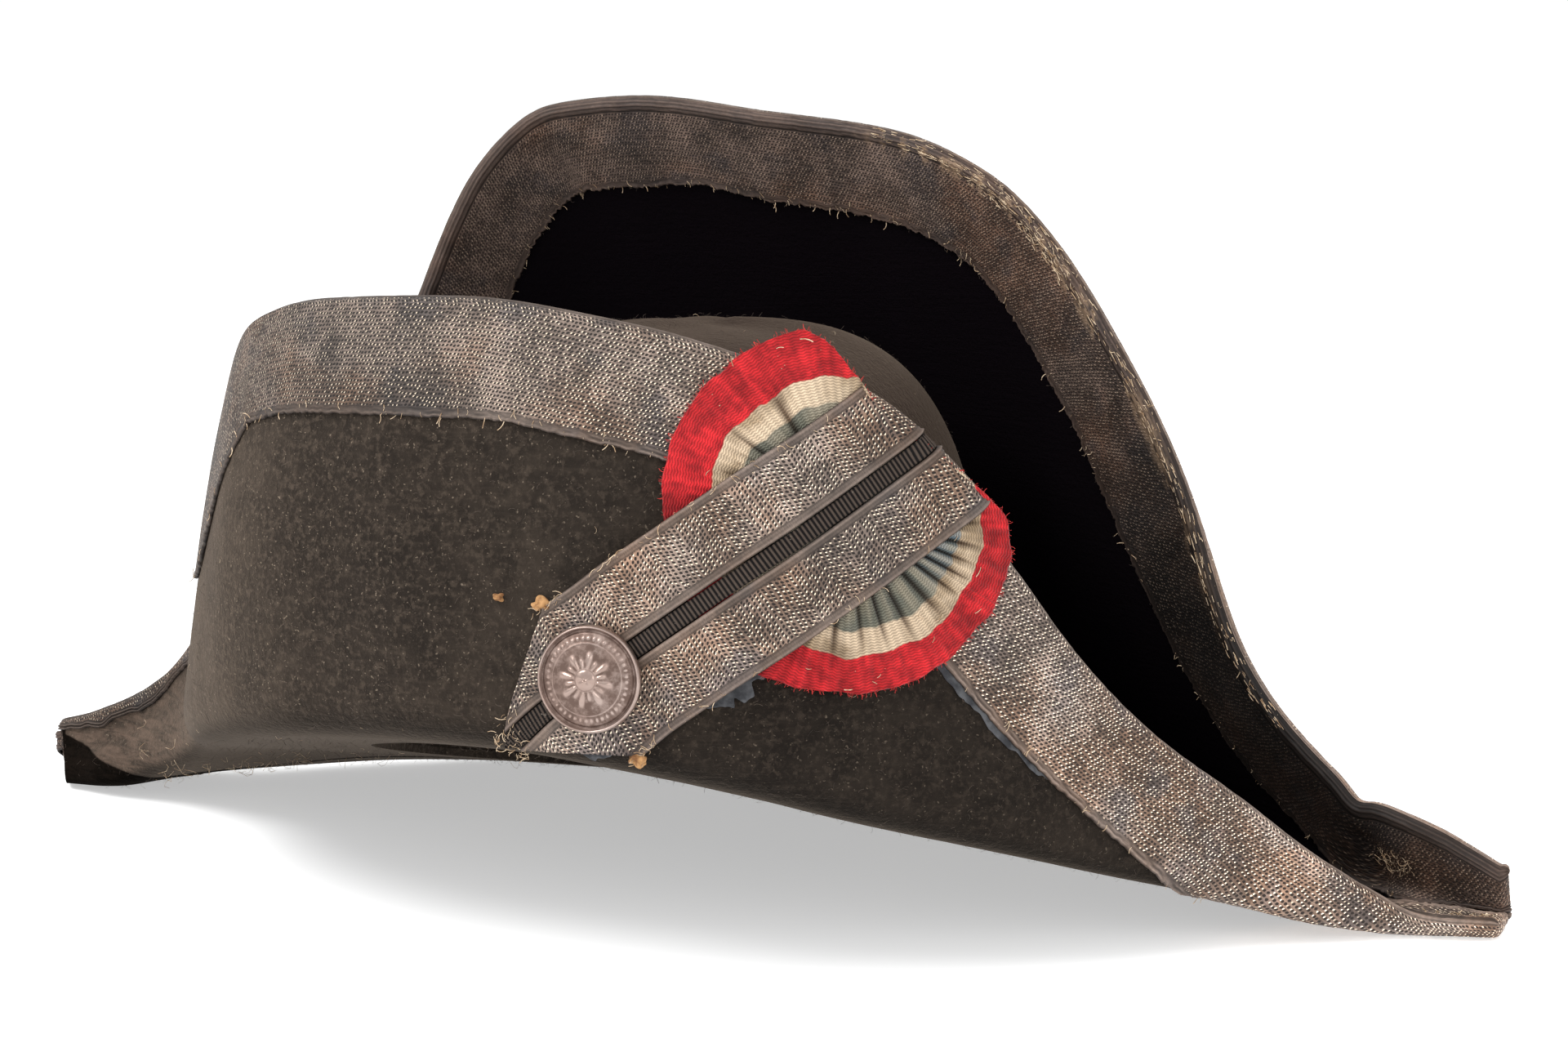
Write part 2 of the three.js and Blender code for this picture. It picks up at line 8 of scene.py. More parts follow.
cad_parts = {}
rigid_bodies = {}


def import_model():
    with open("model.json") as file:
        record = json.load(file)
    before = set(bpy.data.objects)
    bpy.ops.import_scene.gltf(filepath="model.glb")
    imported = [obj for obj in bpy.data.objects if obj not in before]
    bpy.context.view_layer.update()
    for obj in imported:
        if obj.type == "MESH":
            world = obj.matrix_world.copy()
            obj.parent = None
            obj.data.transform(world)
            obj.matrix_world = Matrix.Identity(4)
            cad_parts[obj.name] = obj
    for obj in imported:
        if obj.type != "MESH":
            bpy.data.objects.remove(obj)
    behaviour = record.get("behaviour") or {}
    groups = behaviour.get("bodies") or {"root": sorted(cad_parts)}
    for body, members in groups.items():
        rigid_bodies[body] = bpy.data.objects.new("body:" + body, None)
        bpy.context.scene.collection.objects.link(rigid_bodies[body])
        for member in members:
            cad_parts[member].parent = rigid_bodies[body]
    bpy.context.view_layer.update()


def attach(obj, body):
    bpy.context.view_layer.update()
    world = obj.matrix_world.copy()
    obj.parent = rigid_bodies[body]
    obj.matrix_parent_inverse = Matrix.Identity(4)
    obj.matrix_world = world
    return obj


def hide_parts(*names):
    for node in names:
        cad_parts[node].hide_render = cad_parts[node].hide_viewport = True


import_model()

# Lengths are in millimetres up to toMetres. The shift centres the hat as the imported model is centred.
hat = {"foldRound": 13, "tipSkew": -0.9, "feltThickness": 2.2, "shift": (4.744, 11.107, 0.0), "rows": 256, "columns": 172}
dents = {"creaseAt": 30, "creaseWidth": 3.2, "creaseDepth": 1.8, "kinkAt": 181, "kinkWidth": 4.5, "kinkDrop": 2.4}

# One row a section: station, then Y and Z of the low flap's edge, its fold, the rear fold and the tall flap's edge,
# and how far each flap bows outward, as a share of its length.
brimTable = np.array([
    [-215, -6.9, 18.3, -14.5, 2.1, 9, 2.1, 14.3, 8.9, 0.116, 0.076],
    [-185, -9.8, 25.9, -20.3, 4.4, 28, 2, 18.6, 23.9, 0.114, 0.077],
    [-165, -12.7, 36.5, -25.3, 11.3, 42, 1.7, 24.1, 41.8, 0.071, 0.078],
    [-148, -19.2, 51, -33.1, 18.1, 58, 1.3, 29.7, 61.8, 0.036, 0.079],
    [-134, -29.5, 64.9, -45.2, 26, 70, 0.9, 34.4, 85.7, -0.001, 0.081],
    [-115, -56, 86.9, -70.7, 34.7, 84, -0.2, 39.6, 131.7, -0.012, 0.083],
    [-89, -82.9, 122.7, -98, 42.9, 94, -1, 45.7, 186.9, -0.03, 0.087],
    [-70, -95.8, 147.4, -111.2, 48.4, 99, -1.6, 48.5, 202, -0.048, 0.088],
    [-40, -107.1, 154.3, -120.9, 53.4, 104, -2.1, 49.1, 204.5, -0.044, 0.085],
    [0, -111.5, 155.9, -124.1, 55.7, 106, -2.1, 49.2, 200, -0.03, 0.074],
    [40, -108.1, 151, -119.1, 52.5, 104, -2.1, 47.6, 194.6, -0.015, 0.047],
    [70, -98.7, 142.7, -109.4, 46.2, 99, -1.6, 43.9, 182.5, -0.004, 0.008],
    [88, -88.1, 133.5, -99.9, 40.8, 94, -1, 41.7, 166.9, 0.004, -0.034],
    [118, -65.3, 96.3, -77.8, 31.1, 83, -0.2, 34.3, 125.1, 0.009, -0.065],
    [130, -50.4, 72.1, -64.7, 26.2, 75, 0.9, 33.8, 100.4, 0.012, -0.067],
    [145, -33.1, 49.7, -47.3, 19.7, 62, 1.3, 30.9, 63.1, 0.014, -0.05],
    [162, -18.7, 33.5, -30.1, 13, 48, 1.7, 26.9, 42.5, 0.016, -0.024],
    [182, -9.2, 16.5, -12.4, 5.8, 34, 2, 20.4, 28.9, 0.018, 0],
    [202, 1.7, 4.9, 5, 2.1, 26, 1.9, 14.9, 23.6, 0.018, 0.018],
    [218, 9.2, 3.8, 11.6, 2.1, 23, 1.8, 18.8, 14.5, 0.019, 0.032],
], float)
firstStation, lastStation = brimTable[0, 0], brimTable[-1, 0]


def mix(a, b, t):
    return a + (b - a) * t


def smooth(t):
    c = np.clip(t, 0, 1)
    return c * c * (3 - 2 * c)


def unit(v):
    return v / np.maximum(np.linalg.norm(v, axis=-1, keepdims=True), 1e-12)


def dot(a, b):
    return np.sum(a * b, -1)


def bump(d, w):  # a soft ridge, w wide
    return np.exp(-(d / w) ** 2)


def columnCurve(x, y):  # passes through every row and never overshoots
    h = np.diff(x)
    d = np.diff(y) / h
    m = np.concatenate([d[:1], np.zeros(len(x) - 2), d[-1:]])
    for i in range(1, len(x) - 1):
        if d[i - 1] * d[i] > 0:
            m[i] = 3 * (h[i - 1] + h[i]) / ((2 * h[i] + h[i - 1]) / d[i - 1] + (h[i] + 2 * h[i - 1]) / d[i])

    def at(s):
        i = np.clip(np.searchsorted(x, s) - 1, 0, len(x) - 2)
        t = (s - x[i]) / h[i]
        return (y[i] * (1 + 2 * t) * (1 - t) ** 2 + m[i] * h[i] * t * (1 - t) ** 2
                + y[i + 1] * t * t * (3 - 2 * t) + m[i + 1] * h[i] * t * t * (t - 1))
    return at


def sectionLines(x):  # (stations, points, 2): the middle of the felt, from the low flap's edge to the tall flap's
    c = [columnCurve(brimTable[:, 0], brimTable[:, k])(x) for k in range(1, 11)]
    edge, fold, backFold, backEdge = (np.stack([c[k], c[k + 1]], -1) for k in (0, 2, 4, 6))

    def size(a, b):
        return np.linalg.norm(b - a, axis=-1, keepdims=True)

    def toward(a, b, d):
        return a + unit(b - a) * d
    front, base, back = size(edge, fold), size(fold, backFold), size(backFold, backEdge)
    round1 = np.minimum(hat["foldRound"], 0.45 * np.minimum(front, base))
    round2 = np.minimum(hat["foldRound"], 0.45 * np.minimum(back, base))
    a1, b1 = toward(fold, edge, round1), toward(fold, backFold, round1)
    a2, b2 = toward(backFold, fold, round2), toward(backFold, backEdge, round2)
    line = []

    def straight(a, b, n, bow, first):
        side = np.stack([b[:, 1] - a[:, 1], a[:, 0] - b[:, 0]], -1) * bow[:, None]
        for i in range(first, n + 1):
            line.append(mix(a, b, i / n) + side * 4 * (i / n) * (1 - i / n))

    def bend(a, c, b, n=14):
        for i in range(1, n + 1):
            t = i / n
            line.append(a * (1 - t) ** 2 + c * 2 * t * (1 - t) + b * t * t)
    straight(edge, a1, 30, -c[8], 0)
    bend(a1, fold, b1)
    straight(b1, a2, 30, 0 * x, 1)
    bend(a2, backFold, b2)
    straight(b2, backEdge, 40, c[9], 1)
    return np.stack(line, 1)


stationCount, runCount = 900, 420  # samples of the surface that every piece is laid on


def brimSurface():
    x = np.linspace(firstStation, lastStation, stationCount)
    line = sectionLines(x)
    run = np.concatenate([np.zeros((len(x), 1)), np.cumsum(np.linalg.norm(np.diff(line, axis=1), axis=-1), 1)], 1)
    length = run[:, -1]
    w = np.linspace(0, 1, runCount)
    p = np.stack([[np.interp(w, run[i] / length[i], line[i, :, k]) for k in (0, 1)] for i in range(len(x))])
    skew = hat["tipSkew"] * smooth((0.86 * firstStation - x) / (-0.14 * firstStation))
    pts = np.stack([x[:, None] + skew[:, None] * p[:, 0], p[:, 0], p[:, 1]], -1)
    # softens the small kinks where one row of the table hands over to the next
    k = np.exp(-0.5 * (np.arange(-18, 19) / 7.0) ** 2)
    k /= k.sum()
    pad = np.concatenate([2 * pts[:1] - pts[18:0:-1], pts, 2 * pts[-1:] - pts[-2:-20:-1]])
    pts = sum(k[i] * pad[i:i + len(x)] for i in range(len(k)))
    # soft waves, a crease down the tall flap and a kink near the right tip
    xx, ww = pts[..., 0], np.broadcast_to(w, pts.shape[:2])
    waves = 0.45 * np.sin(xx / 14 + 5 * ww) + 0.35 * np.sin(xx / 7.7 - 9 * ww + 1) + 0.3 * np.sin(xx / 23 + 17 * ww)
    crease = bump(xx - dents["creaseAt"] - 14 * (1 - ww), dents["creaseWidth"])
    crease = crease * smooth((ww - 0.62) / 0.1) * smooth((0.95 - ww) / 0.1)
    kink = bump(xx - dents["kinkAt"], dents["kinkWidth"]) * smooth((ww - 0.86) / 0.1)
    calm = smooth((np.minimum(xx - firstStation, lastStation - xx) - 4) / 25)
    pts[..., 1] += waves * calm - dents["creaseDepth"] * crease
    pts[..., 2] -= dents["kinkDrop"] * kink
    length = np.linalg.norm(np.diff(pts, axis=1), axis=-1).sum(1)
    return pts, length


surfacePoints, surfaceLength = brimSurface()


def stationIndex(x):
    f = np.clip((np.asarray(x, float) - firstStation) / (lastStation - firstStation) * (stationCount - 1),
                0, stationCount - 1.0001)
    i = f.astype(int)
    return i, f - i


def lengthAt(x):
    i, f = stationIndex(x)
    return mix(surfaceLength[i], surfaceLength[i + 1], f)


def feltPoint(x, v):  # v is the distance along the section from the low flap's edge
    i, f = stationIndex(x)
    g = np.asarray(v, float) / mix(surfaceLength[i], surfaceLength[i + 1], f) * (runCount - 1)
    j = np.clip(np.floor(g), 0, runCount - 2).astype(int)
    f, g = f[..., None], (g - j)[..., None]
    s = surfacePoints
    return mix(mix(s[i, j], s[i, j + 1], g), mix(s[i + 1, j], s[i + 1, j + 1], g), f)


def feltFrame(x, v):
    x, v = np.broadcast_arrays(np.asarray(x, float), np.asarray(v, float))
    x0 = np.clip(x - 1.5, firstStation, lastStation - 1)
    x1 = np.clip(x + 1.5, firstStation + 1, lastStation)
    alongX = (feltPoint(x1, v) - feltPoint(x0, v)) / (x1 - x0)[..., None]
    alongV = (feltPoint(x, v + 2) - feltPoint(x, v - 2)) / 4
    return alongX, alongV, unit(np.cross(alongV, alongX))


def lifted(x, v, h):
    return feltPoint(x, v) + feltFrame(x, v)[2] * np.asarray(h, float)[..., None]


def walk(x, v, way, length, steps):  # walks over the felt; arrays in, the list of places out
    x, v = np.array(x, float), np.array(v, float)
    step = np.asarray(length, float) / steps
    way = np.array(way, float)
    places = [(x, v, way)]
    for _ in range(steps):
        alongX, alongV, out = feltFrame(x, v)
        way = unit(way - out * dot(way, out)[..., None])
        xx, xv, vv = dot(alongX, alongX), dot(alongX, alongV), dot(alongV, alongV)
        wx, wv = dot(way, alongX), dot(way, alongV)
        det = xx * vv - xv * xv
        x = x + step * (wx * vv - wv * xv) / det
        v = v + step * (wv * xx - wx * xv) / det
        places.append((x, v, way))
    return places


def wander(u, scale, seed):  # smooth random wave along u, between about -1 and 1
    u = np.asarray(u, float) / scale + 1000
    i = np.floor(u).astype(int)
    level = np.random.default_rng(seed).uniform(-1, 1, 4096)
    return mix(level[i % 4096], level[(i + 1) % 4096], smooth(u - i))


def toMetres(p):
    return (np.asarray(p, float) + np.array(hat["shift"])) / 1000


def newMesh(name, points, faces, uv=None, smoothShade=True):
    mesh = bpy.data.meshes.new(name)
    mesh.from_pydata(toMetres(points).tolist(), [], faces)
    if uv is not None:
        layer = mesh.uv_layers.new(name="run")
        loops = np.empty(len(mesh.loops), int)
        mesh.loops.foreach_get("vertex_index", loops)
        layer.data.foreach_set("uv", (np.asarray(uv)[loops] / 1000).ravel())
    if smoothShade:
        mesh.polygons.foreach_set("use_smooth", np.ones(len(mesh.polygons), bool))
    mesh.update()
    obj = bpy.data.objects.new(name, mesh)
    bpy.context.scene.collection.objects.link(obj)
    return obj


def gridFaces(rows, cols, start=0, flip=False, wrap=False):
    i, j = np.meshgrid(np.arange(rows if wrap else rows - 1), np.arange(cols - 1), indexing="ij")
    a = start + i * cols + j
    b = start + ((i + 1) % rows) * cols + j
    q = np.stack([a, b, b + 1, a + 1], -1).reshape(-1, 4)
    return (q[:, ::-1] if flip else q).tolist()


def shellMesh(name, top, under, uvTop=None, uvUnder=None, wrap=False):
    # top (rows, cols) and under (rows, fewer cols) share their rows, so the long walls meet point to point
    rows, ct, cu = top.shape[0], top.shape[1], under.shape[1]
    points = np.concatenate([top.reshape(-1, 3), under.reshape(-1, 3)])
    u0 = rows * ct
    faces = gridFaces(rows, ct, 0, wrap=wrap) + gridFaces(rows, cu, u0, flip=True, wrap=wrap)
    for i in range(rows if wrap else rows - 1):
        k = (i + 1) % rows
        faces.append((i * ct, u0 + i * cu, u0 + k * cu, k * ct))
        faces.append((i * ct + ct - 1, k * ct + ct - 1, u0 + k * cu + cu - 1, u0 + i * cu + cu - 1))
    if not wrap:
        faces.append(tuple(range(ct)) + tuple(u0 + cu - 1 - k for k in range(cu)))
        last, lastU = (rows - 1) * ct, u0 + (rows - 1) * cu
        faces.append(tuple(last + ct - 1 - k for k in range(ct)) + tuple(lastU + k for k in range(cu)))
    uv = None
    if uvTop is not None:
        uv = np.concatenate([np.asarray(uvTop).reshape(-1, 2), np.asarray(uvUnder).reshape(-1, 2)])
    return newMesh(name, points, faces, uv)


def addAttribute(obj, name, values):
    attribute = obj.data.attributes.new(name, "FLOAT", "POINT")
    attribute.data.foreach_set("value", np.asarray(values, np.float32).ravel())


def pointsAndTriangles(mesh):  # in the mesh's own units
    mesh.calc_loop_triangles()
    tri = np.empty(len(mesh.loop_triangles) * 3, int)
    mesh.loop_triangles.foreach_get("vertices", tri)
    co = np.empty(len(mesh.vertices) * 3)
    mesh.vertices.foreach_get("co", co)
    return co.reshape(-1, 3), tri.reshape(-1, 3)


def fromMetres(p):
    return p * 1000 - np.array(hat["shift"])


def closedOutward(obj, tangled=False):  # turns every face round if the shell came out inside out
    mesh = obj.data
    if tangled:
        work = bmesh.new()
        work.from_mesh(mesh)
        bmesh.ops.recalc_face_normals(work, faces=work.faces)
        work.to_mesh(mesh)
        work.free()
    co, tri = pointsAndTriangles(mesh)
    t = co[tri]
    if np.sum(t[:, 0] * np.cross(t[:, 1], t[:, 2])) < 0:
        mesh.flip_normals()
    return obj


def place(obj, node, slot):
    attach(obj, "root")
    if node:
        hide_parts(node)


crown = {"halfWidth": 80, "halfDepth": 96, "centreY": -4, "top": 145.5, "lean": 10, "squareness": 3.2,
         "sides": 168, "rings": 46}


def baseHeight(x, y):
    c = [columnCurve(brimTable[:, 0], brimTable[:, k])(x) for k in (3, 4, 5, 6)]
    return mix(c[1], c[3], (y - c[0]) / (c[2] - c[0]))


def crownRings(inset):
    a = np.linspace(0, 2 * math.pi, crown["sides"], endpoint=False)
    rings = []
    for k in range(crown["rings"]):
        turn = (k / crown["rings"]) * math.pi / 2
        wide, rise = math.cos(turn) ** (2 / crown["squareness"]), math.sin(turn) ** (2 / crown["squareness"])
        rx, ry = crown["halfWidth"] - inset, crown["halfDepth"] - inset
        foot = baseHeight(rx * np.cos(a), ry * np.sin(a) + crown["centreY"])
        lump = 1.2 * np.sin(3 * a + 0.7) * rise + 0.9 * np.sin(5 * a + 2.2 + 3 * rise) * rise
        rings.append(np.stack([(rx * wide + 0.5 * lump) * np.cos(a),
                               (ry * wide + 0.5 * lump) * np.sin(a) + crown["centreY"] + crown["lean"] * rise,
                               mix(foot, crown["top"] - inset + 0.8 * lump, rise)], -1))
    return rings, np.array([0, crown["centreY"] + crown["lean"], crown["top"] - inset])


def crownShell():
    points, faces, n = [], [], crown["sides"]
    for side, inset in enumerate((0, hat["feltThickness"])):
        rings, pole = crownRings(inset)
        start = side * (len(rings) * n + 1)
        points += [*rings, pole[None]]
        grid = np.array(gridFaces(len(rings), n + 1))  # rows are rings; the last column wraps on to the first
        faces += [[start + (v // (n + 1)) * n + (v % (n + 1)) % n for v in q] for q in grid.tolist()]
        top = start + (len(rings) - 1) * n
        faces += [[top + i, top + (i + 1) % n, start + len(rings) * n] for i in range(n)]
    block = crown["rings"] * n + 1
    faces += [[i, block + i, block + (i + 1) % n, (i + 1) % n] for i in range(n)]
    return closedOutward(newMesh("crownShell", np.concatenate(points), faces), tangled=True)


def mouthPlug():
    a = np.linspace(0, 2 * math.pi, crown["sides"], endpoint=False)
    inset = hat["feltThickness"] + 0.4
    x = (crown["halfWidth"] - inset) * np.cos(a)
    y = (crown["halfDepth"] - inset) * np.sin(a) + crown["centreY"]
    z = baseHeight(x, y)
    n = len(a)
    points = np.concatenate([np.stack([x, y, z + 8], -1), np.stack([x, y, z - 8], -1),
                             [[0, crown["centreY"], z.mean() + 12], [0, crown["centreY"], z.mean() - 12]]])
    faces = []
    for i in range(n):
        j = (i + 1) % n
        faces += [[i, j, 2 * n], [n + j, n + i, 2 * n + 1], [i, n + i, n + j, j]]
    return closedOutward(newMesh("mouthPlug", points, faces), tangled=True)


def combine(obj, other, operation):  # other is used up
    modifier = obj.modifiers.new("combine", "BOOLEAN")
    modifier.operation, modifier.object, modifier.solver = operation, other, "MANIFOLD"
    mesh = bpy.data.meshes.new_from_object(obj.evaluated_get(bpy.context.evaluated_depsgraph_get()))
    obj.modifiers.clear()
    obj.data = mesh
    bpy.data.objects.remove(other)


def makeFelt():
    x = np.linspace(firstStation, lastStation, hat["rows"])[:, None]
    w = np.linspace(0, 1, hat["columns"])[None]
    v = w * lengthAt(x)
    half = hat["feltThickness"] / 2
    body = closedOutward(shellMesh("feltBody", lifted(x, v, half + 0 * v), lifted(x, v, -half + 0 * v)))
    addAttribute(body, "inner", np.concatenate([np.zeros(v.size), np.ones(v.size)]))
    z = feltPoint(x, v)[..., 2]
    # rub is brushed, lighter nap; shade is painted shade, the dark hollow at the left tip and the band under the low
    # flap's fold
    rub = smooth((-88 - x) / 70) * smooth((58 - z) / 45) * (w < 0.5)
    rub = np.maximum(rub, 0.35 * smooth((14 - np.abs(z - 8)) / 12) * (w < 0.5))
    addAttribute(body, "rub", np.concatenate([rub.ravel(), np.zeros(v.size)]))
    above = z - z.min(1, keepdims=True)
    band = np.interp(x, (-222, -200, -172, -150, -100, -40, 20), (15, 11, 6, 4.5, 9, 8, 3))
    shade = smooth((band - above) / 3 + 0.5) * smooth((30 - x) / 50)
    shade = np.maximum(shade, smooth((-212 - x) / 4) * (above < 24)) * (w < 0.5)
    addAttribute(body, "shade", np.concatenate([shade.ravel(), np.zeros(v.size)]))
    addAttribute(body, "dome", np.zeros(2 * v.size))
    combine(body, mouthPlug(), "DIFFERENCE")
    dome = crownShell()
    addAttribute(dome, "dome", np.ones(len(dome.data.vertices)))
    combine(body, dome, "UNION")
    body.data.polygons.foreach_set("use_smooth", np.ones(len(body.data.polygons), bool))
    body.data.set_sharp_from_angle(angle=math.radians(38))
    print("felt body:", len(body.data.polygons), "faces")
    return body


feltBody = makeFelt()

lace = {"width": 26, "under": 1.25, "thickness": 0.8, "pitch": 1.05, "selvedge": 1.15, "ridge": 0.4, "steps": 52}


def edgePath(fromBack, spacing):  # stations evenly spaced along one flap's edge
    x = np.linspace(firstStation, lastStation, 3000)
    p = feltPoint(x, lengthAt(x) if fromBack else 0 * x)
    run = np.concatenate([[0], np.cumsum(np.linalg.norm(np.diff(p, axis=0), axis=-1))])
    u = np.linspace(0, run[-1], int(run[-1] / spacing))
    return np.interp(u, run, x), u


def wornEdge(x, s):  # where the cream core shows through the tall flap's edge
    near = smooth((3.4 - np.abs(s - 0.6)) / 2.4)
    spots = 1.2 * wander(x, 2.2, 21) + 0.9 * wander(x + 9 * s, 1.1, 22) - 0.25
    where = smooth((x - 22) / 25) * smooth((150 - x) / 25)
    return np.clip(near * where * smooth(spots / 0.5), 0, 1) * 0.9


lacePlaces = {}  # where each strip lies, for the threads that grow on it


def laceHeading(x, v, fromBack):  # the way down the flap, square to its edge except near the tips
    before, after = np.maximum(x - 1, firstStation), np.minimum(x + 1, lastStation)
    along = unit(feltPoint(after, lengthAt(after) if fromBack else 0 * x)
                 - feltPoint(before, lengthAt(before) if fromBack else 0 * x))
    down = feltFrame(x, v)[1] * (-1 if fromBack else 1)
    down = unit(down - along * dot(down, along)[:, None])
    tip = np.maximum(smooth((x - lastStation + 34) / 26), smooth((firstStation + 34 - x) / 26))[:, None]
    return unit(mix(down, unit(feltFrame(x, v)[1] * (-1 if fromBack else 1)), tip))


def laceReach(x, u, px, pv, fromBack, side, ragged):  # how far down the flap the lace reaches at each station
    steps = px.shape[1] - 1
    share = pv / lengthAt(px)
    if fromBack:
        share = 1 - share
    ok = (share < 0.498) & (px > firstStation - 0.01) & (px < lastStation + 0.01)
    ok[:, 0] = True
    reach = np.where(ok.all(1), steps, np.argmin(ok, 1) - 1) / steps * lace["width"]
    reach = np.convolve(np.pad(np.maximum(reach, 1.5), 8, mode="edge"), np.ones(17) / 17, "valid")
    if side > 0 and not fromBack:  # the horn's end has lost its lace down to a narrow curl
        reach = reach * mix(0.13, 1, smooth((x + 123) / 20)) + 1.6 * wander(u, 6, 31) * smooth((-115 - x) / 10)
    notch = smooth((wander(u, 9, 12) - 0.55) / 0.3) * wander(u, 1.6, 13)
    uneven = 0.45 * wander(u, 1.3, 10) + 1.1 * wander(u, 24, 11) + 0.8 * notch
    return reach + np.minimum(1, reach / 10) * (ragged * uneven)


def laceRelief(uu, s, reach, fromBack, top):  # height over the felt, distance from the margin, and where the cords lie
    border = reach[:, None] - s
    g = lace["selvedge"]
    line = wander(uu, 2.3, 3)[:, None] * 0.12
    marginCords = sum(bump(border - 0.45 - 0.95 * k + line, 0.27) for k in range(2))
    edgeCords = sum(bump(s - g * (0.3 + k) + line, 0.36) for k in (range(-3, 1) if fromBack else (-3,)))
    cord = np.clip(marginCords + edgeCords, 0, 1)
    inField = smooth((border - 1.9) / 0.5) * smooth((s - (1.0 if fromBack else -2.7)) / 0.5)
    a = 2 * math.pi / (2 * lace["pitch"])
    lattice = np.cos(a * (uu[:, None] + 0.5 * s)) * np.cos(a * (uu[:, None] - 0.5 * s))
    lumps = 0.22 * wander(uu, 17, 5)[:, None] * np.sin(s / 5 + 2 * wander(uu, 40, 6)[:, None]) * smooth(s / 6)
    h = top + lace["ridge"] * cord - 0.10 * inField * lattice - 0.25 * (1 - cord) * (1 - inField) + lumps
    fringe = 0.5 * wander(uu * 7, 1, 8)[:, None] * bump(border, 0.5)
    return np.maximum(h + fringe, lace["under"] + 0.25), border, cord


def laceStrip(name, fromBack, side, spacing, rowGap, ragged, underRows=9):
    x, u = edgePath(fromBack, spacing)
    v = lengthAt(x) if fromBack else 0 * x
    down = laceHeading(x, v, fromBack)
    steps = lace["steps"]
    path = walk(x, v, down, lace["width"], steps)
    px, pv = np.stack([q[0] for q in path], 1), np.stack([q[1] for q in path], 1)
    reach = laceReach(x, u, px, pv, fromBack, side, ragged)
    rows = int(lace["width"] / rowGap)
    s = reach[:, None] * np.linspace(0, 1, rows)[None]
    f = s / lace["width"] * steps
    k = np.clip(f.astype(int), 0, steps - 1)
    c = np.arange(len(x))[:, None]
    gx, gv = mix(px[c, k], px[c, k + 1], f - k), mix(pv[c, k], pv[c, k + 1], f - k)
    # the lip that rolls over the felt's own edge
    lip = np.radians([88, 77, 66, 55, 44, 33, 22, 11])
    theta = np.concatenate([np.broadcast_to(lip, (len(x), len(lip))), 0 * s], 1)
    gx = np.concatenate([np.broadcast_to(x[:, None], (len(x), len(lip))), gx], 1)
    gv = np.concatenate([np.broadcast_to(v[:, None], (len(x), len(lip))), gv], 1)
    top = lace["under"] + lace["thickness"]
    s = np.concatenate([-top * np.broadcast_to(lip, (len(x), len(lip))), s], 1)
    # the same at the two horn tips
    ends = np.radians([86, 58, 30])
    phi = np.concatenate([-ends, 0 * x, ends[::-1]])
    order = np.concatenate([[0] * 3, np.arange(len(x)), [len(x) - 1] * 3])
    uu = np.concatenate([u[0] - top * ends, u, u[-1] + top * ends[::-1]])
    gx, gv, theta, s = gx[order], gv[order], theta[order], s[order]
    down, reach = down[order], reach[order]
    alongX, _, out = feltFrame(gx, gv)
    out = out * side
    ax = unit(alongX)
    inward = unit(np.where(theta[..., None] > 0, down[:, None], 0 * out) + 1e-9)
    base = feltPoint(gx, gv)

    def layer(height):
        h = height[..., None] if np.ndim(height) else height
        cp, sp = np.cos(phi)[:, None, None], np.sin(phi)[:, None, None]
        ct, st = np.cos(theta)[..., None], np.sin(theta)[..., None]
        return base + h * (out * ct * cp - inward * st * cp + ax * sp)
    h, border, cord = laceRelief(uu, s, reach, fromBack, top)
    upper = layer(h)
    pick = np.unique(np.linspace(0, upper.shape[1] - 1, underRows).astype(int))
    lower = layer(lace["under"])[:, pick]
    uv = np.stack([np.broadcast_to(uu[:, None], s.shape), s], -1)
    obj = closedOutward(shellMesh(name, upper, lower, uv, uv[:, pick]))
    worn = wornEdge(gx, s) if fromBack else 0 * s
    for key, data in (("border", border), ("rim", s), ("cord", cord), ("worn", worn)):
        addAttribute(obj, key, np.concatenate([data.ravel(), data[:, pick].ravel()]))
    lacePlaces[name] = {"x": gx, "v": gv, "down": down, "side": side, "top": top, "lip": len(lip)}
    print(name, len(obj.data.polygons), "faces")
    return obj


frontOuter = laceStrip("edgeLaceFront", False, 1, 0.525, 0.525, 0.45)
rearOuter = laceStrip("edgeLaceRear", True, 1, 0.6, 0.55, 0.4)
frontInner = laceStrip("edgeLaceFrontInside", False, -1, 0.7, 0.6, 0.4)
rearInner = laceStrip("edgeLaceRearInside", True, -1, 0.525, 0.525, 1.0)

cockade = {"radius": 41, "hole": 5, "thickness": 1.5, "station": 89, "drop": 23, "lift": 0.7, "pleats": 17, "depth": 1.5,
           "sides": 560, "rings": 60}
# How far the rosette reaches in each direction, in degrees from the right along the flap's edge and on downward.
cockadeReach = {
    "direction": [0, 60, 120, 200, 212, 222, 232, 241, 255, 277, 300, 312, 318, 328, 336, 344, 360],
    "reach": [41, 41.3, 40.6, 43, 45, 44.5, 40, 32.5, 25, 23, 25.5, 29, 31.5, 36.5, 39.5, 41, 41],
}
loop = {"station": 97.6, "length": 115.5, "halfWidth": 20, "point": 29, "ribbon": 4.1, "gap": 0.3, "thickness": 1.0,
        "tuck": 14, "skew": 0.285, "slack": 1.5, "lead": 34, "steps": 48, "ridge": 0.35}
laceTop = lace["under"] + lace["thickness"]
cockadeTop = laceTop + 0.5 + cockade["thickness"] + cockade["lift"]


def loopMiddle():
    x, v = np.array([loop["station"]], float), np.zeros(1)
    alongX, alongV, _ = feltFrame(x, v)
    along = unit(alongX)
    down = unit(alongV - along * dot(alongV, along)[:, None])
    way = unit(down - along * loop["skew"])
    sx, sv, _ = walk(x, v, -way, loop["lead"], 3)[-1]
    path = walk(sx, sv, way, loop["lead"] + loop["length"], loop["steps"])
    return [np.concatenate([q[k] for q in path]) for k in range(3)]


loopX, loopV, loopWay = loopMiddle()


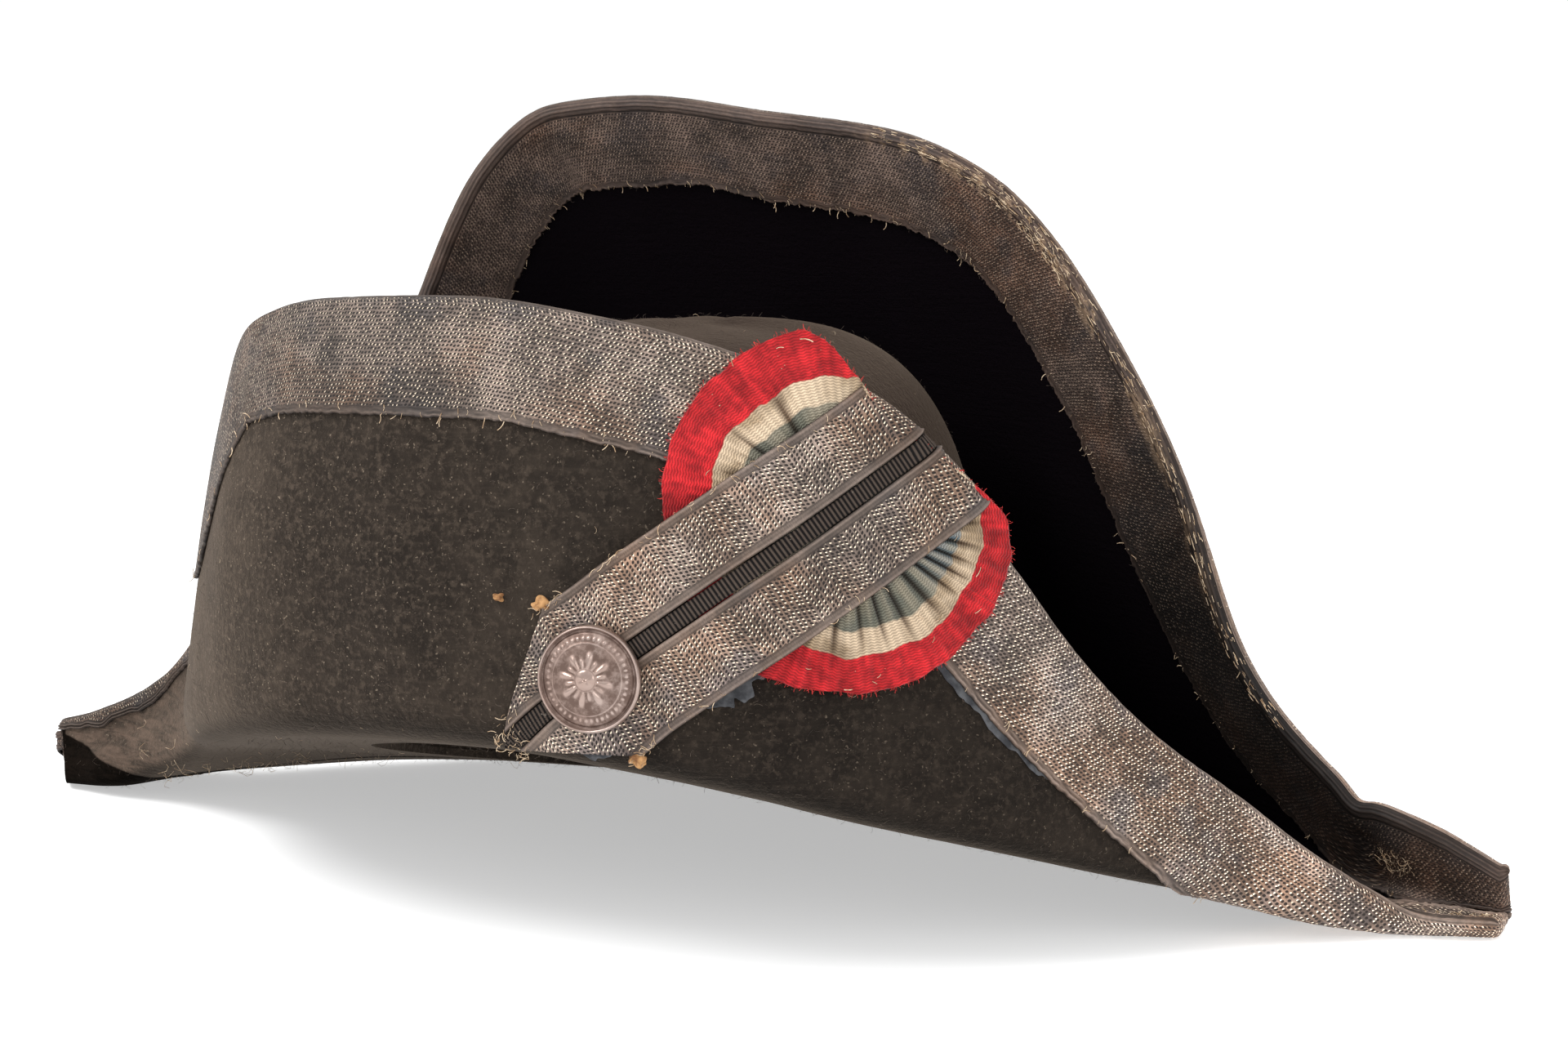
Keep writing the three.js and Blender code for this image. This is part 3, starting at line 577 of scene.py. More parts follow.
def loopLift(t):
    bare = hat["feltThickness"] / 2 + 0.5
    over = cockadeTop + 0.4
    leave = cockade["drop"] + cockade["radius"]
    onLace = smooth((lace["width"] + 14.4 - t) / 9.6) * lace["thickness"]
    onFold = smooth((t - loop["length"] + 1.3 * loop["point"]) / (0.43 * loop["point"])) * 0.8
    return np.maximum(bare + onLace, mix(over, bare, smooth((t - leave) / 16))) + onFold


def loopPlace(t, b):
    t, b = np.broadcast_arrays(np.asarray(t, float), np.asarray(b, float))
    f = np.clip((t + loop["lead"]) / (loop["lead"] + loop["length"]), 0, 1) * loop["steps"]
    n = np.minimum(loop["steps"] - 1, f.astype(int))
    f = f - n
    x, v = mix(loopX[n], loopX[n + 1], f), mix(loopV[n], loopV[n + 1], f)
    way = mix(loopWay[n], loopWay[n + 1], f[..., None])
    side = unit(np.cross(way, feltFrame(x, v)[2])) * np.where(b < 0, -1, 1)[..., None]
    return walk(x, v, side, np.abs(b), 3)[-1][:2]


def crossing(b):  # where the loop crosses the flap's edge, measured along it, at b across
    b = np.asarray(b, float)
    low, high = np.full(b.shape, -loop["lead"], float), np.full(b.shape, loop["lead"], float)
    for _ in range(20):
        middle = (low + high) / 2
        past = loopPlace(middle, b)[1] < 0
        low, high = np.where(past, middle, low), np.where(past, high, middle)
    return (low + high) / 2


turnLength = math.pi * (cockadeTop + 0.4) * (0.5 + 0.5 * loop["slack"])


def loopHeading(t):
    f = np.clip((np.asarray(t, float) + loop["lead"]) / (loop["lead"] + loop["length"]), 0, 1) * loop["steps"]
    n = np.minimum(loop["steps"] - 1, f.astype(int))
    return mix(loopWay[n], loopWay[n + 1], (f - n)[..., None])


def loopOverEdge(t, b, h, start, x, v):  # turns over the flap's edge, then goes down inside
    turn = np.minimum(1, t / turnLength)
    radius = mix(loopLift(start), laceTop + 0.4, smooth(turn)) + h
    out = feltFrame(x, v)[2]
    way = loopHeading(start)
    down = unit(way - out * dot(way, out)[..., None])
    return (feltPoint(x, v) + out * (radius * np.cos(turn * math.pi))[..., None]
            + down * (np.maximum(0, t - turnLength) - loop["slack"] * radius * np.sin(turn * math.pi))[..., None])


def loopStrip(name, near, far, spacing, across, relief):
    b = np.linspace(near, far, across)
    start = crossing(b)
    end = loop["length"] - np.abs(b) / loop["halfWidth"] * loop["point"]
    ex, ev = loopPlace(start, b)
    overT = np.arange(turnLength + loop["tuck"], 0.2, -spacing)
    rows = int((loop["length"] - start.mean()) / spacing)
    flapT = mix(start[None], end[None], np.linspace(0, 1, rows)[:, None])
    gx, gv = loopPlace(flapT, b[None] + 0 * flapT)
    u = np.concatenate([start[None] - overT[:, None] + 0 * b, flapT])
    bb = np.broadcast_to(b, u.shape)

    def layer(height):
        h = height if np.ndim(height) else np.full(u.shape, height)
        n = len(overT)
        rolled = np.stack([loopOverEdge(overT[i], b, h[i], start, ex, ev) for i in range(n)])
        flat = lifted(gx, gv, loopLift(flapT) + h[n:])
        return np.concatenate([rolled, flat])
    top = loop["thickness"] + relief(u, bb - near, far - bb)
    upper = layer(top)
    pick = np.unique(np.linspace(0, across - 1, 5).astype(int))
    lower = layer(0.0)[:, pick]
    uv = np.stack([u, bb], -1)
    obj = closedOutward(shellMesh(name, upper, lower, uv, uv[:, pick]))
    near, far = bb - near, far - bb
    cord = np.clip(sum(bump(d - 0.42 - 0.9 * k, 0.26) for d in (near, far) for k in range(2)), 0, 1)
    for key, data in (("border", near), ("rim", far), ("cord", cord), ("worn", 0 * cord)):
        addAttribute(obj, key, np.concatenate([data.ravel(), data[:, pick].ravel()]))
    print(name, len(obj.data.polygons), "faces")
    return obj


def stripRelief(u, a, b):
    ridges = sum(bump(a - 0.42 - 0.9 * k, 0.28) + bump(b - 0.42 - 0.9 * k, 0.28) for k in range(2))
    field = smooth((a - 1.8) / 0.5) * smooth((b - 1.8) / 0.5)
    return loop["ridge"] * ridges - 0.3 * (1 - np.minimum(1, ridges)) * (1 - field) - 0.1 * field


def ribbonRelief(u, a, b):
    return -0.35 + 0.16 * np.cos(2 * math.pi * u / 1.05) * smooth(a / 0.4) * smooth(b / 0.4)


half = loop["ribbon"] / 2 + loop["gap"]
stripUpper = loopStrip("loopStripUpper", half, loop["halfWidth"], 0.525, 35, stripRelief)
stripLower = loopStrip("loopStripLower", -loop["halfWidth"], -half, 0.525, 35, stripRelief)
ribbon = loopStrip("loopRibbon", -loop["ribbon"] / 2, loop["ribbon"] / 2, 0.26, 9, ribbonRelief)


def makeCockade():
    sides, rings = cockade["sides"], cockade["rings"]
    rng = np.random.default_rng(5)
    x0, v0 = np.array([cockade["station"]], float), np.array([cockade["drop"]], float)
    alongX, alongV, _ = feltFrame(x0, v0)
    across = unit(alongX)
    down = unit(alongV - across * dot(alongV, across)[:, None])
    a = np.linspace(0, 2 * math.pi, sides, endpoint=False)
    way = across * np.cos(a)[:, None] + down * np.sin(a)[:, None]
    path = walk(x0 + 0 * a, v0 + 0 * a, way, cockade["radius"] * 1.05, 24)
    px, pv = np.stack([q[0] for q in path], 1), np.stack([q[1] for q in path], 1)
    # outline: a little uneven, and cut along the flap's edge on the far side of the loop
    waves = sum(rng.uniform(0.2, 0.5) * np.sin(k * a + rng.uniform(0, 6.3)) for k in (5, 8, 13, 21, 34))
    reach = np.interp(np.degrees(a), cockadeReach["direction"], cockadeReach["reach"]) + 0.5 * waves
    t = np.linspace(0, 1, rings) ** 0.85
    r = mix(cockade["hole"], reach[:, None], t[None])
    f = np.clip(r / (cockade["radius"] * 1.05) * 24, 0, 23.999)
    k = f.astype(int)
    c = np.arange(sides)[:, None]
    gx, gv = mix(px[c, k], px[c, k + 1], f - k), mix(pv[c, k], pv[c, k + 1], f - k)
    # gathers: round pleats with tight valleys, deepest near the middle and broader in the upper lobe
    broad = np.exp(-(np.angle(np.exp(1j * (a - 3.75))) / 0.75) ** 2)
    phase = a + 0.045 * np.sin(7 * a + 1.0) + 0.07 * np.sin(4 * a + 0.3)
    narrowFold = np.abs(np.sin(cockade["pleats"] * phase + 0.4)) ** 0.8 * 2.1 - 1
    broadFold = np.abs(np.sin(6.5 * phase + 0.9)) ** 0.45 * 2 - 1
    fold = mix(narrowFold, broadFold, smooth((broad - 0.35) / 0.3))[:, None]
    deep = smooth((36 - r) / 13)
    strong = (0.8 + 0.3 * np.sin(3 * a + 2.2))[:, None]
    wave = cockade["depth"] * deep * strong * fold + 0.20 * (1 - deep) * np.cos(2 * cockade["pleats"] * phase + 1)[:, None]
    rimWaves = smooth((r - 33) / 8) * np.sin(11 * a + 1 + np.sin(3 * a))[:, None]
    wave = wave + 0.35 * waves[:, None] * (1 - deep) + 0.35 * rimWaves
    under = laceTop + 0.35
    top = under + cockade["thickness"] * 0.8 + np.clip(wave, -0.95, 1.4)
    lower = np.full(r.shape, under)
    lowerLobe = np.exp(-(np.angle(np.exp(1j * (a - 0.35))) / 0.8) ** 4)[:, None]
    band = r - 1.9 * lowerLobe + 0.9 * (np.sin(9 * a + 1.4) + 0.6 * np.sin(23 * a))[:, None] * 0.5
    uv = np.stack([np.broadcast_to(a[:, None] * 35, r.shape), band], -1)
    pick = np.unique(np.linspace(0, rings - 1, 10).astype(int))
    obj = closedOutward(shellMesh("cockadeRosette", lifted(gx, gv, top), lifted(gx, gv, lower)[:, pick], uv, uv[:, pick],
                                  wrap=True))
    cool = np.broadcast_to(0.12 + 0.88 * np.exp(-((np.angle(np.exp(1j * (a + 0.35)))) / 0.42) ** 2)[:, None], r.shape)
    for key, data in (("band", band), ("fold", wave), ("cool", cool)):
        addAttribute(obj, key, np.concatenate([data.ravel(), data[:, pick].ravel()]))
    print("cockade", len(obj.data.polygons), "faces")
    return obj


rosette = makeCockade()

button = {"radius": 12.5, "along": 86.6, "clear": 0.1, "rays": 8, "beads": 44, "sides": 160, "rings": 70}


def makeButton():
    sides, rings, radius = button["sides"], button["rings"], button["radius"]
    x, v = loopPlace(np.array([button["along"]]), np.zeros(1))
    alongX, _, out = feltFrame(x, v)
    out = out[0]
    ax = unit(alongX[0] - out * dot(alongX[0], out))
    ay = np.cross(out, ax)
    seat = lifted(x, v, loopLift(np.array([button["along"]])) + loop["thickness"] + button["clear"])[0]
    a = np.linspace(0, 2 * math.pi, sides, endpoint=False)[:, None]
    t = np.linspace(0, 1, rings)[None]
    r = radius * (1 - t) * 0.985
    q = r / radius
    rim = bump(q - 0.955, 0.03) * 0.75 - bump(q - 0.885, 0.022) * 0.35
    dome = np.where(q < 0.93, 1.15 + 2.35 * (1 - (q / 0.93) ** 2), 1.15)
    # a small boss with rays, and a ring of beads near the rim
    star, fromBoss = np.cos(button["rays"] * a), smooth((q - 0.2) / 0.06)
    rays = np.maximum(0, star) ** 2 * fromBoss * smooth((0.58 - q) / 0.2) * 0.4
    rays = rays + np.maximum(0, -star) ** 3 * fromBoss * smooth((0.44 - q) / 0.12) * 0.3
    boss = 0.55 * np.sqrt(np.maximum(0, 1 - (q / 0.19) ** 2)) + 0.12 * bump(q - 0.21, 0.012)
    beads = 0.3 * np.maximum(0, np.cos(button["beads"] * a)) * bump(q - 0.76, 0.032)
    ring = 0.12 * bump(q - 0.67, 0.012)
    dents = 0.05 * np.sin(3 * a + 5 * q) + 0.04 * np.sin(5 * a - 9 * q + 1)
    z = dome + rim + rays + boss + beads + ring + dents
    edge = np.array([[0.86, 0.0], [0.97, 0.1], [1.0, 0.45], [1.0, 0.9], [0.995, 1.2]])
    er = np.broadcast_to(edge[:, 0] * radius, (sides, 5))
    ez = np.broadcast_to(edge[:, 1], (sides, 5))
    rr, zz = np.concatenate([er, r + 0 * a], 1), np.concatenate([ez, z], 1)
    rr[:, -1] = 0.02
    zz[:, -1] = zz[:, -1].mean()
    p = seat + ax * (rr * np.cos(a))[..., None] + ay * (rr * np.sin(a))[..., None] + out * zz[..., None]
    n = p.shape[1]
    points = np.concatenate([p.reshape(-1, 3), seat[None]])
    faces = gridFaces(sides, n, wrap=True)
    faces += [[i * n, ((i + 1) % sides) * n, sides * n] for i in range(sides)]
    faces.append([i * n + n - 1 for i in range(sides)][::-1])
    obj = closedOutward(newMesh("buttonFace", points, faces))
    hollow = 1 - np.clip((rays + boss + beads + ring + np.maximum(rim, 0)) / 0.3, 0, 1) + 0 * a
    addAttribute(obj, "hollow", np.append(np.concatenate([np.zeros((sides, 5)), hollow], 1).ravel(), 0))
    print("button", len(obj.data.polygons), "faces")
    return obj


buttonFace = makeButton()

def nodeAdder(tree, prefix=""):  # a function that adds a node and links or sets its inputs
    def node(kind, inputs=None, **settings):
        n = tree.nodes.new(prefix + kind)
        for key, value in settings.items():
            setattr(n, key, value)
        for key, value in (inputs or {}).items():
            if isinstance(value, bpy.types.NodeSocket):
                tree.links.new(value, n.inputs[key])
            else:
                n.inputs[key].default_value = value
        return n
    return node


def newMaterial(name):  # returns short functions that add nodes to the new material
    material = bpy.data.materials.new(name)
    material.use_nodes = True
    tree = material.node_tree
    tree.nodes.clear()
    node = nodeAdder(tree, "ShaderNode")

    def maths(operation, a, b=0.0, c=0.0, clamped=False):
        return node("Math", {0: a, 1: b, 2: c}, operation=operation, use_clamp=clamped).outputs[0]

    def blend(factor, a, b, mode="MIX"):
        a, b = ((*v, 1) if isinstance(v, tuple) and len(v) == 3 else v for v in (a, b))
        return node("Mix", {"Factor": factor, 6: a, 7: b}, data_type="RGBA", blend_type=mode).outputs[2]

    def step(value, low, high, fromZero=0.0, toOne=1.0):  # smooth rise from low to high
        return node("MapRange", {0: value, 1: low, 2: high, 3: fromZero, 4: toOne},
                    interpolation_type="SMOOTHSTEP").outputs[0]

    def noise(where, scale, detail=3.0, rough=0.55, distortion=0.0):
        return node("TexNoise", {"Vector": where, "Scale": scale, "Detail": detail, "Roughness": rough,
                                 "Distortion": distortion}).outputs[0]

    def surface(colour, roughness=0.8, metallic=0.0, height=None, strength=0.5, distance=0.0004, **more):
        inputs = {"Base Color": (*colour, 1) if isinstance(colour, tuple) else colour, "Roughness": roughness,
                  "Metallic": metallic, **more}
        if height is not None:
            inputs["Normal"] = node("Bump", {"Height": height, "Strength": strength, "Distance": distance}).outputs[0]
        shader = node("BsdfPrincipled", inputs)
        node("OutputMaterial", {"Surface": shader.outputs[0]})
        return material
    return node, maths, blend, step, noise, surface


def attributeOf(node, name):
    return node("Attribute", attribute_name=name).outputs["Fac"]


def grey(v):
    return (v, v, v, 1)


def scaled(colour, share):
    return (*[share * v for v in colour], 1)


def lightAndShadeAcross(node, maths, step, where, lightAndShade):  # painted light and shade, a brightness that changes over the hat: axis, low, high, from, to
    axes, value = node("SeparateXYZ", {0: where}), 1.0
    for axis, low, high, a, b in lightAndShade:
        value = maths("MULTIPLY", value, step(axes.outputs[axis], low, high, a, b))
    return value


laceTones = {
    "warm": (0.160, 0.106, 0.076), "grey": (0.190, 0.156, 0.136), "cool": (0.082, 0.076, 0.079),
    "dark": (0.036, 0.025, 0.019), "speck": (0.92, 0.82, 0.66), "pit": (0.010, 0.0075, 0.0065),
    "coreDark": (0.20, 0.14, 0.08), "corePale": (0.60, 0.50, 0.36),
}


def weave(node, maths, blend, step, noise, pitch, rowPitch, zigzag, wear, tone, flat=False):
    # pits and specks of a metal-thread lace, in rows that slant one way and then the other
    where = node("TexCoord").outputs["Object"]
    run = node("SeparateXYZ", {0: node("UVMap", uv_map="run").outputs[0]})
    along, across = maths("MULTIPLY", run.outputs[0], 1000 / pitch), maths("MULTIPLY", run.outputs[1], 1000 / rowPitch)
    wobble = maths("MULTIPLY", maths("SUBTRACT", noise(where, 160.0, 1.0), 0.5), 0.9)
    first, second = (along, across) if not flat else (across, along)
    slant = maths("MULTIPLY", maths("PINGPONG", second, zigzag), 0.5)
    x, y = maths("ADD", maths("ADD", first, slant), wobble), second
    cell = node("CombineXYZ", {0: x, 1: y}).outputs[0]
    pits = node("TexVoronoi", {"Vector": cell, "Scale": 1.0, "Randomness": 0.28}, voronoi_dimensions="2D")
    shifted = node("CombineXYZ", {0: maths("ADD", x, 0.5), 1: maths("ADD", y, 0.12)}).outputs[0]
    specks = node("TexVoronoi", {"Vector": shifted, "Scale": 1.0, "Randomness": 0.45}, voronoi_dimensions="2D")
    pit = step(pits.outputs["Distance"], 0.26, 0.40, 1.0, 0.0)
    sparkle = node("SeparateXYZ", {0: specks.outputs["Color"]})
    speck = maths("MULTIPLY", step(specks.outputs["Distance"], 0.14, 0.28, 1.0, 0.0), step(sparkle.outputs[0], 0.30, 0.65))
    patch = noise(where, 26.0, 4.0, 0.6, 0.4)
    patch2 = noise(where, 61.0, 3.0, 0.6)
    base = blend(step(patch, 0.40, 0.60), laceTones["warm"], laceTones["grey"])
    base = blend(maths("MULTIPLY", step(patch2, 0.50, 0.66), 0.75), base, laceTones["cool"])
    base = blend(maths("MULTIPLY", step(noise(where, 14.0, 5.0, 0.65, 0.8), 0.50, 0.68), wear), base, laceTones["dark"])
    shade = maths("MULTIPLY", step(noise(where, 36.0, 4.0, 0.62, 0.6), 0.36, 0.64, 0.55, 1.25),
                  step(noise(where, 120.0, 3.0, 0.6), 0.36, 0.66, 0.66, 1.2))
    base = blend(1.0, base, shade, "MULTIPLY")
    thread = noise(node("CombineXYZ", {0: maths("MULTIPLY", x, 0.9), 1: maths("MULTIPLY", y, 4.5)}).outputs[0], 1.0, 2.0)
    base = blend(0.6, base, blend(step(thread, 0.3, 0.7), grey(0.45), grey(1.6)), "MULTIPLY")
    base = blend(1.0, base, grey(tone), "MULTIPLY")
    return where, run, base, pit, speck, thread


def laceMaterial(name, pitch=1.05, rowPitch=0.95, zigzag=40.0, wear=0.35, tone=1.0, flat=False, fieldEdge=1.9, rimEdge=1.9,
                 pits=0.97, specks=0.95, tint=(1.0, 0.93, 0.88), lightAndShade=()):
    # fieldEdge and rimEdge are how far from the margin and the rim the woven field starts, in millimetres
    node, maths, blend, step, noise, surface = newMaterial(name)
    where, run, base, pit, speck, thread = weave(node, maths, blend, step, noise, pitch, rowPitch, zigzag, wear, tone, flat)
    border, rim = attributeOf(node, "border"), attributeOf(node, "rim")
    field = maths("MULTIPLY", step(border, fieldEdge, fieldEdge + 0.5), step(rim, rimEdge, rimEdge + 0.5))
    pit, speck = maths("MULTIPLY", pit, field), maths("MULTIPLY", speck, field)
    cord = attributeOf(node, "cord")
    colour = blend(maths("MULTIPLY", speck, specks), base, scaled(laceTones["speck"], tone))
    colour = blend(maths("MULTIPLY", pit, pits), colour, laceTones["pit"])
    cordTone = blend(noise(where, 900.0, 2.0), scaled(laceTones["grey"], 0.4 * tone), scaled(laceTones["grey"], 1.35 * tone))
    colour = blend(maths("MULTIPLY", cord, 0.85), colour, cordTone)
    groove = maths("MULTIPLY", maths("SUBTRACT", 1.0, field), maths("SUBTRACT", 1.0, cord), clamped=True)
    colour = blend(maths("MULTIPLY", groove, 0.85), colour, laceTones["pit"])
    worn = attributeOf(node, "worn")
    core = blend(noise(where, 900.0, 3.0), laceTones["coreDark"], laceTones["corePale"])
    colour = blend(maths("MULTIPLY", worn, 0.55), colour, core)
    colour = blend(1.0, colour, tint, "MULTIPLY")
    if lightAndShade:
        colour = blend(1.0, colour, lightAndShadeAcross(node, maths, step, where, lightAndShade), "MULTIPLY")
    height = maths("ADD", maths("MULTIPLY", thread, 0.35), maths("SUBTRACT", speck, pit))
    return surface(colour, 0.62, 0.25, height, 0.55, 0.00025, **{"Specular IOR Level": 0.35})


# inside is painted shade for the felt's inner side
feltTones = {
    "dark": (0.018, 0.0135, 0.0105), "light": (0.060, 0.045, 0.034), "inside": (0.0042, 0.0030, 0.0040),
    "shadow": (0.010, 0.0075, 0.006), "lint": (0.34, 0.27, 0.20), "rubbed": (0.094, 0.064, 0.048),
    "crown": (0.0180, 0.0095, 0.0068), "sheen": (0.55, 0.43, 0.33),
}


def feltMaterial():
    node, maths, blend, step, noise, surface = newMaterial("feltNap")
    where = node("TexCoord").outputs["Object"]
    nap = noise(where, 620.0, 4.0, 0.7, 0.3)
    cloud = noise(where, 22.0, 5.0, 0.62, 0.6)
    brushed = noise(node("Mapping", {"Vector": where, "Scale": (60.0, 60.0, 700.0)}).outputs[0], 1.0, 3.0, 0.6, 0.8)
    colour = blend(step(cloud, 0.36, 0.68), feltTones["dark"], scaled(feltTones["light"], 0.62))
    patches = step(noise(where, 150.0, 3.0, 0.6), 0.42, 0.62)
    colour = blend(maths("MULTIPLY", patches, 0.5), colour, feltTones["shadow"])
    colour = blend(maths("MULTIPLY", step(nap, 0.46, 0.68), 0.85), colour, feltTones["light"])
    colour = blend(maths("MULTIPLY", step(brushed, 0.5, 0.75), 0.25), colour, feltTones["light"])
    fineLint, coarseLint = step(noise(where, 1400.0, 1.0, 0.5), 0.68, 0.76), step(noise(where, 900.0, 2.0, 0.5), 0.72, 0.78)
    colour = blend(maths("MULTIPLY", maths("MAXIMUM", fineLint, coarseLint), 0.4), colour, feltTones["lint"])
    # painted shade: the felt darkens towards the right
    across = node("SeparateXYZ", {0: where}).outputs[0]
    colour = blend(1.0, colour, step(across, -0.10, 0.12, 1.05, 0.50), "MULTIPLY")
    rub = attributeOf(node, "rub")
    streak = noise(node("Mapping", {"Vector": where, "Scale": (90.0, 90.0, 420.0)}).outputs[0], 1.0, 4.0, 0.65, 1.2)
    colour = blend(maths("MULTIPLY", rub, step(streak, 0.30, 0.72)), colour, feltTones["rubbed"])
    colour = blend(maths("MULTIPLY", attributeOf(node, "dome"), 0.75), colour, feltTones["crown"])
    # painted shade: faces that look downward are darkened, and more so where the shade attribute marks the left tip's
    # hollow and the band under the low flap's fold; the sheen is taken away there too
    undersideShade = step(node("SeparateXYZ", {0: node("NewGeometry").outputs["Normal"]}).outputs[2], -0.80, -0.10, 0.10, 1.0)
    paintedShade = maths("ADD", attributeOf(node, "shade"), maths("MULTIPLY", maths("SUBTRACT", noise(where, 120.0, 3.0), 0.5), 0.6))
    paintedShade = step(paintedShade, 0.30, 0.62)
    colour = blend(1.0, colour, maths("MULTIPLY", undersideShade, maths("SUBTRACT", 1.0, maths("MULTIPLY", paintedShade, 0.93))), "MULTIPLY")
    # painted shade: the inner side takes the near-black inside tone and loses its sheen
    inner = attributeOf(node, "inner")
    colour = blend(inner, colour, feltTones["inside"])
    plush = maths("SUBTRACT", maths("SUBTRACT", 1.0, inner), maths("MULTIPLY", paintedShade, 0.9), clamped=True)
    height = maths("ADD", nap, maths("MULTIPLY", brushed, 0.5))
    return surface(colour, 0.96, 0.0, height, 0.7, 0.0006, **{
        "Specular IOR Level": maths("MULTIPLY", plush, 0.12), "Sheen Weight": maths("MULTIPLY", plush, 0.26),
        "Sheen Roughness": 0.45, "Sheen Tint": (*feltTones["sheen"], 1)})


ribbonTones = {
    "dark": (0.006, 0.005, 0.005), "light": (0.072, 0.054, 0.043), "fray": (0.22, 0.19, 0.16),
}


def ribbonMaterial():
    node, maths, blend, step, noise, surface = newMaterial("loopRibbonRibs")
    where = node("TexCoord").outputs["Object"]
    run = node("SeparateXYZ", {0: node("UVMap", uv_map="run").outputs[0]})
    rib = maths("COSINE", maths("MULTIPLY", run.outputs[0], 2 * math.pi * 1000 / 1.05))
    fray = noise(where, 800.0, 3.0, 0.6)
    colour = blend(step(rib, -0.6, 0.7), ribbonTones["dark"], ribbonTones["light"])
    colour = blend(step(fray, 0.66, 0.76), colour, ribbonTones["fray"])
    return surface(colour, 0.75, 0.0, maths("ADD", rib, fray), 0.5, 0.0002, **{"Specular IOR Level": 0.12})


# The pleats' tones: painted shade in their valleys and a painted highlight on their ridges.
cockadeTones = {
    "red": (0.66, 0.020, 0.026), "redDark": (0.34, 0.010, 0.014), "cream": (0.64, 0.50, 0.35),
    "creamStain": (0.34, 0.245, 0.150), "olive": (0.135, 0.130, 0.094), "oliveLight": (0.245, 0.215, 0.150),
    "blue": (0.050, 0.135, 0.215), "bluePale": (0.13, 0.19, 0.20), "pleatShade": (0.20, 0.16, 0.14),
    "ridge": (0.56, 0.46, 0.33), "weft": (0.30, 0.27, 0.26),
}


def cockadeMaterial():
    node, maths, blend, step, noise, surface = newMaterial("cockadeBands")
    where = node("TexCoord").outputs["Object"]
    run = node("SeparateXYZ", {0: node("UVMap", uv_map="run").outputs[0]})
    along, band = maths("MULTIPLY", run.outputs[0], 1000.0), attributeOf(node, "band")
    ragged = maths("MULTIPLY", maths("SUBTRACT", noise(where, 420.0, 2.0), 0.5), 1.1)
    edge = maths("ADD", band, ragged)
    weft = maths("SINE", maths("ADD", maths("MULTIPLY", band, 9.5), maths("MULTIPLY", maths("PINGPONG", along, 0.8), 3.0)))
    warp = maths("COSINE", maths("MULTIPLY", along, 2 * math.pi / 2.4))
    stain = noise(where, 55.0, 4.0, 0.65, 0.5)
    red = blend(step(noise(where, 300.0, 4.0, 0.65), 0.34, 0.66), cockadeTones["red"], cockadeTones["redDark"])
    cream = blend(step(stain, 0.42, 0.66), cockadeTones["cream"], cockadeTones["creamStain"])
    cool = attributeOf(node, "cool")
    blue = blend(maths("MULTIPLY", cool, 0.7), blend(step(stain, 0.40, 0.62), cockadeTones["olive"], cockadeTones["oliveLight"]),
                 blend(step(noise(where, 150.0, 3.0), 0.4, 0.62), cockadeTones["blue"], cockadeTones["bluePale"]))
    colour = blend(step(edge, 25.0, 25.6), blue, cream)
    colour = blend(step(edge, 31.2, 31.6), colour, red)
    fold = attributeOf(node, "fold")
    inRed = step(edge, 30.8, 31.6)  # pleats show less in the red band
    # painted shade in the pleats' valleys and a painted highlight on their ridges, both weaker in the red band
    pleatShade = maths("MULTIPLY", step(fold, 0.45, -0.75), maths("SUBTRACT", 1.0, maths("MULTIPLY", inRed, 0.45)))
    colour = blend(pleatShade, colour, blend(0.95, colour, cockadeTones["pleatShade"], "MULTIPLY"))
    ridge = maths("MULTIPLY", step(fold, 0.5, 1.35), maths("SUBTRACT", 0.6, maths("MULTIPLY", inRed, 0.6)))
    colour = blend(ridge, colour, blend(0.5, colour, cockadeTones["ridge"]))
    halved = lambda thread: maths("MULTIPLY", maths("ADD", thread, 1.0), 0.5)
    colour = blend(0.5, colour, blend(halved(weft), cockadeTones["weft"], grey(1.4)), "MULTIPLY")
    colour = blend(0.22, colour, blend(halved(warp), grey(0.5), grey(1.3)), "MULTIPLY")
    height = maths("ADD", weft, maths("MULTIPLY", warp, 1.2))
    return surface(colour, 0.88, 0.0, height, 0.55, 0.0003, **{"Specular IOR Level": 0.2, "Sheen Weight": 0.12})


buttonTones = {
    "copper": (0.33, 0.24, 0.205), "pale": (0.40, 0.315, 0.28), "tarnish": (0.125, 0.083, 0.068),
}


def buttonMaterial():
    node, maths, blend, step, noise, surface = newMaterial("buttonMetal")
    where = node("TexCoord").outputs["Object"]
    hollow = attributeOf(node, "hollow")
    blotch = maths("MULTIPLY", maths("SUBTRACT", noise(where, 260.0, 4.0, 0.65), 0.5), 0.9)
    grime = maths("ADD", hollow, blotch, clamped=True)
    colour = blend(step(noise(where, 120.0, 4.0, 0.6), 0.35, 0.7), buttonTones["copper"], buttonTones["pale"])
    bright = maths("SUBTRACT", 1.0, maths("MULTIPLY", step(noise(where, 420.0, 5.0, 0.7), 0.42, 0.66), 0.55))
    colour = blend(maths("MULTIPLY", step(grime, 0.45, 1.05), bright), colour, buttonTones["tarnish"])
    roughness = step(grime, 0.2, 0.9, 0.30, 0.52)
    return surface(colour, roughness, 0.92, noise(where, 1500.0, 2.0), 0.18, 0.0002)


def plainMaterial(name, low, high, scale=600.0):
    node, maths, blend, step, noise, surface = newMaterial(name)
    where = node("TexCoord").outputs["Object"]
    return surface(blend(step(noise(where, scale, 3.0), 0.35, 0.65), low, high), 0.85, **{"Specular IOR Level": 0.3})


print("dressing")
feltLook = feltMaterial()
# The tones are painted light and shade. Each tone is an axis, where it starts and ends in metres, and the brightness
# before and after.
# painted light and shade: the outer lace is darker to the left and brighter to the right
outerLook = laceMaterial("laceOuter", wear=0.45, tone=0.98, rimEdge=-2.7, lightAndShade=((0, -0.10, 0.26, 0.60, 2.45),))
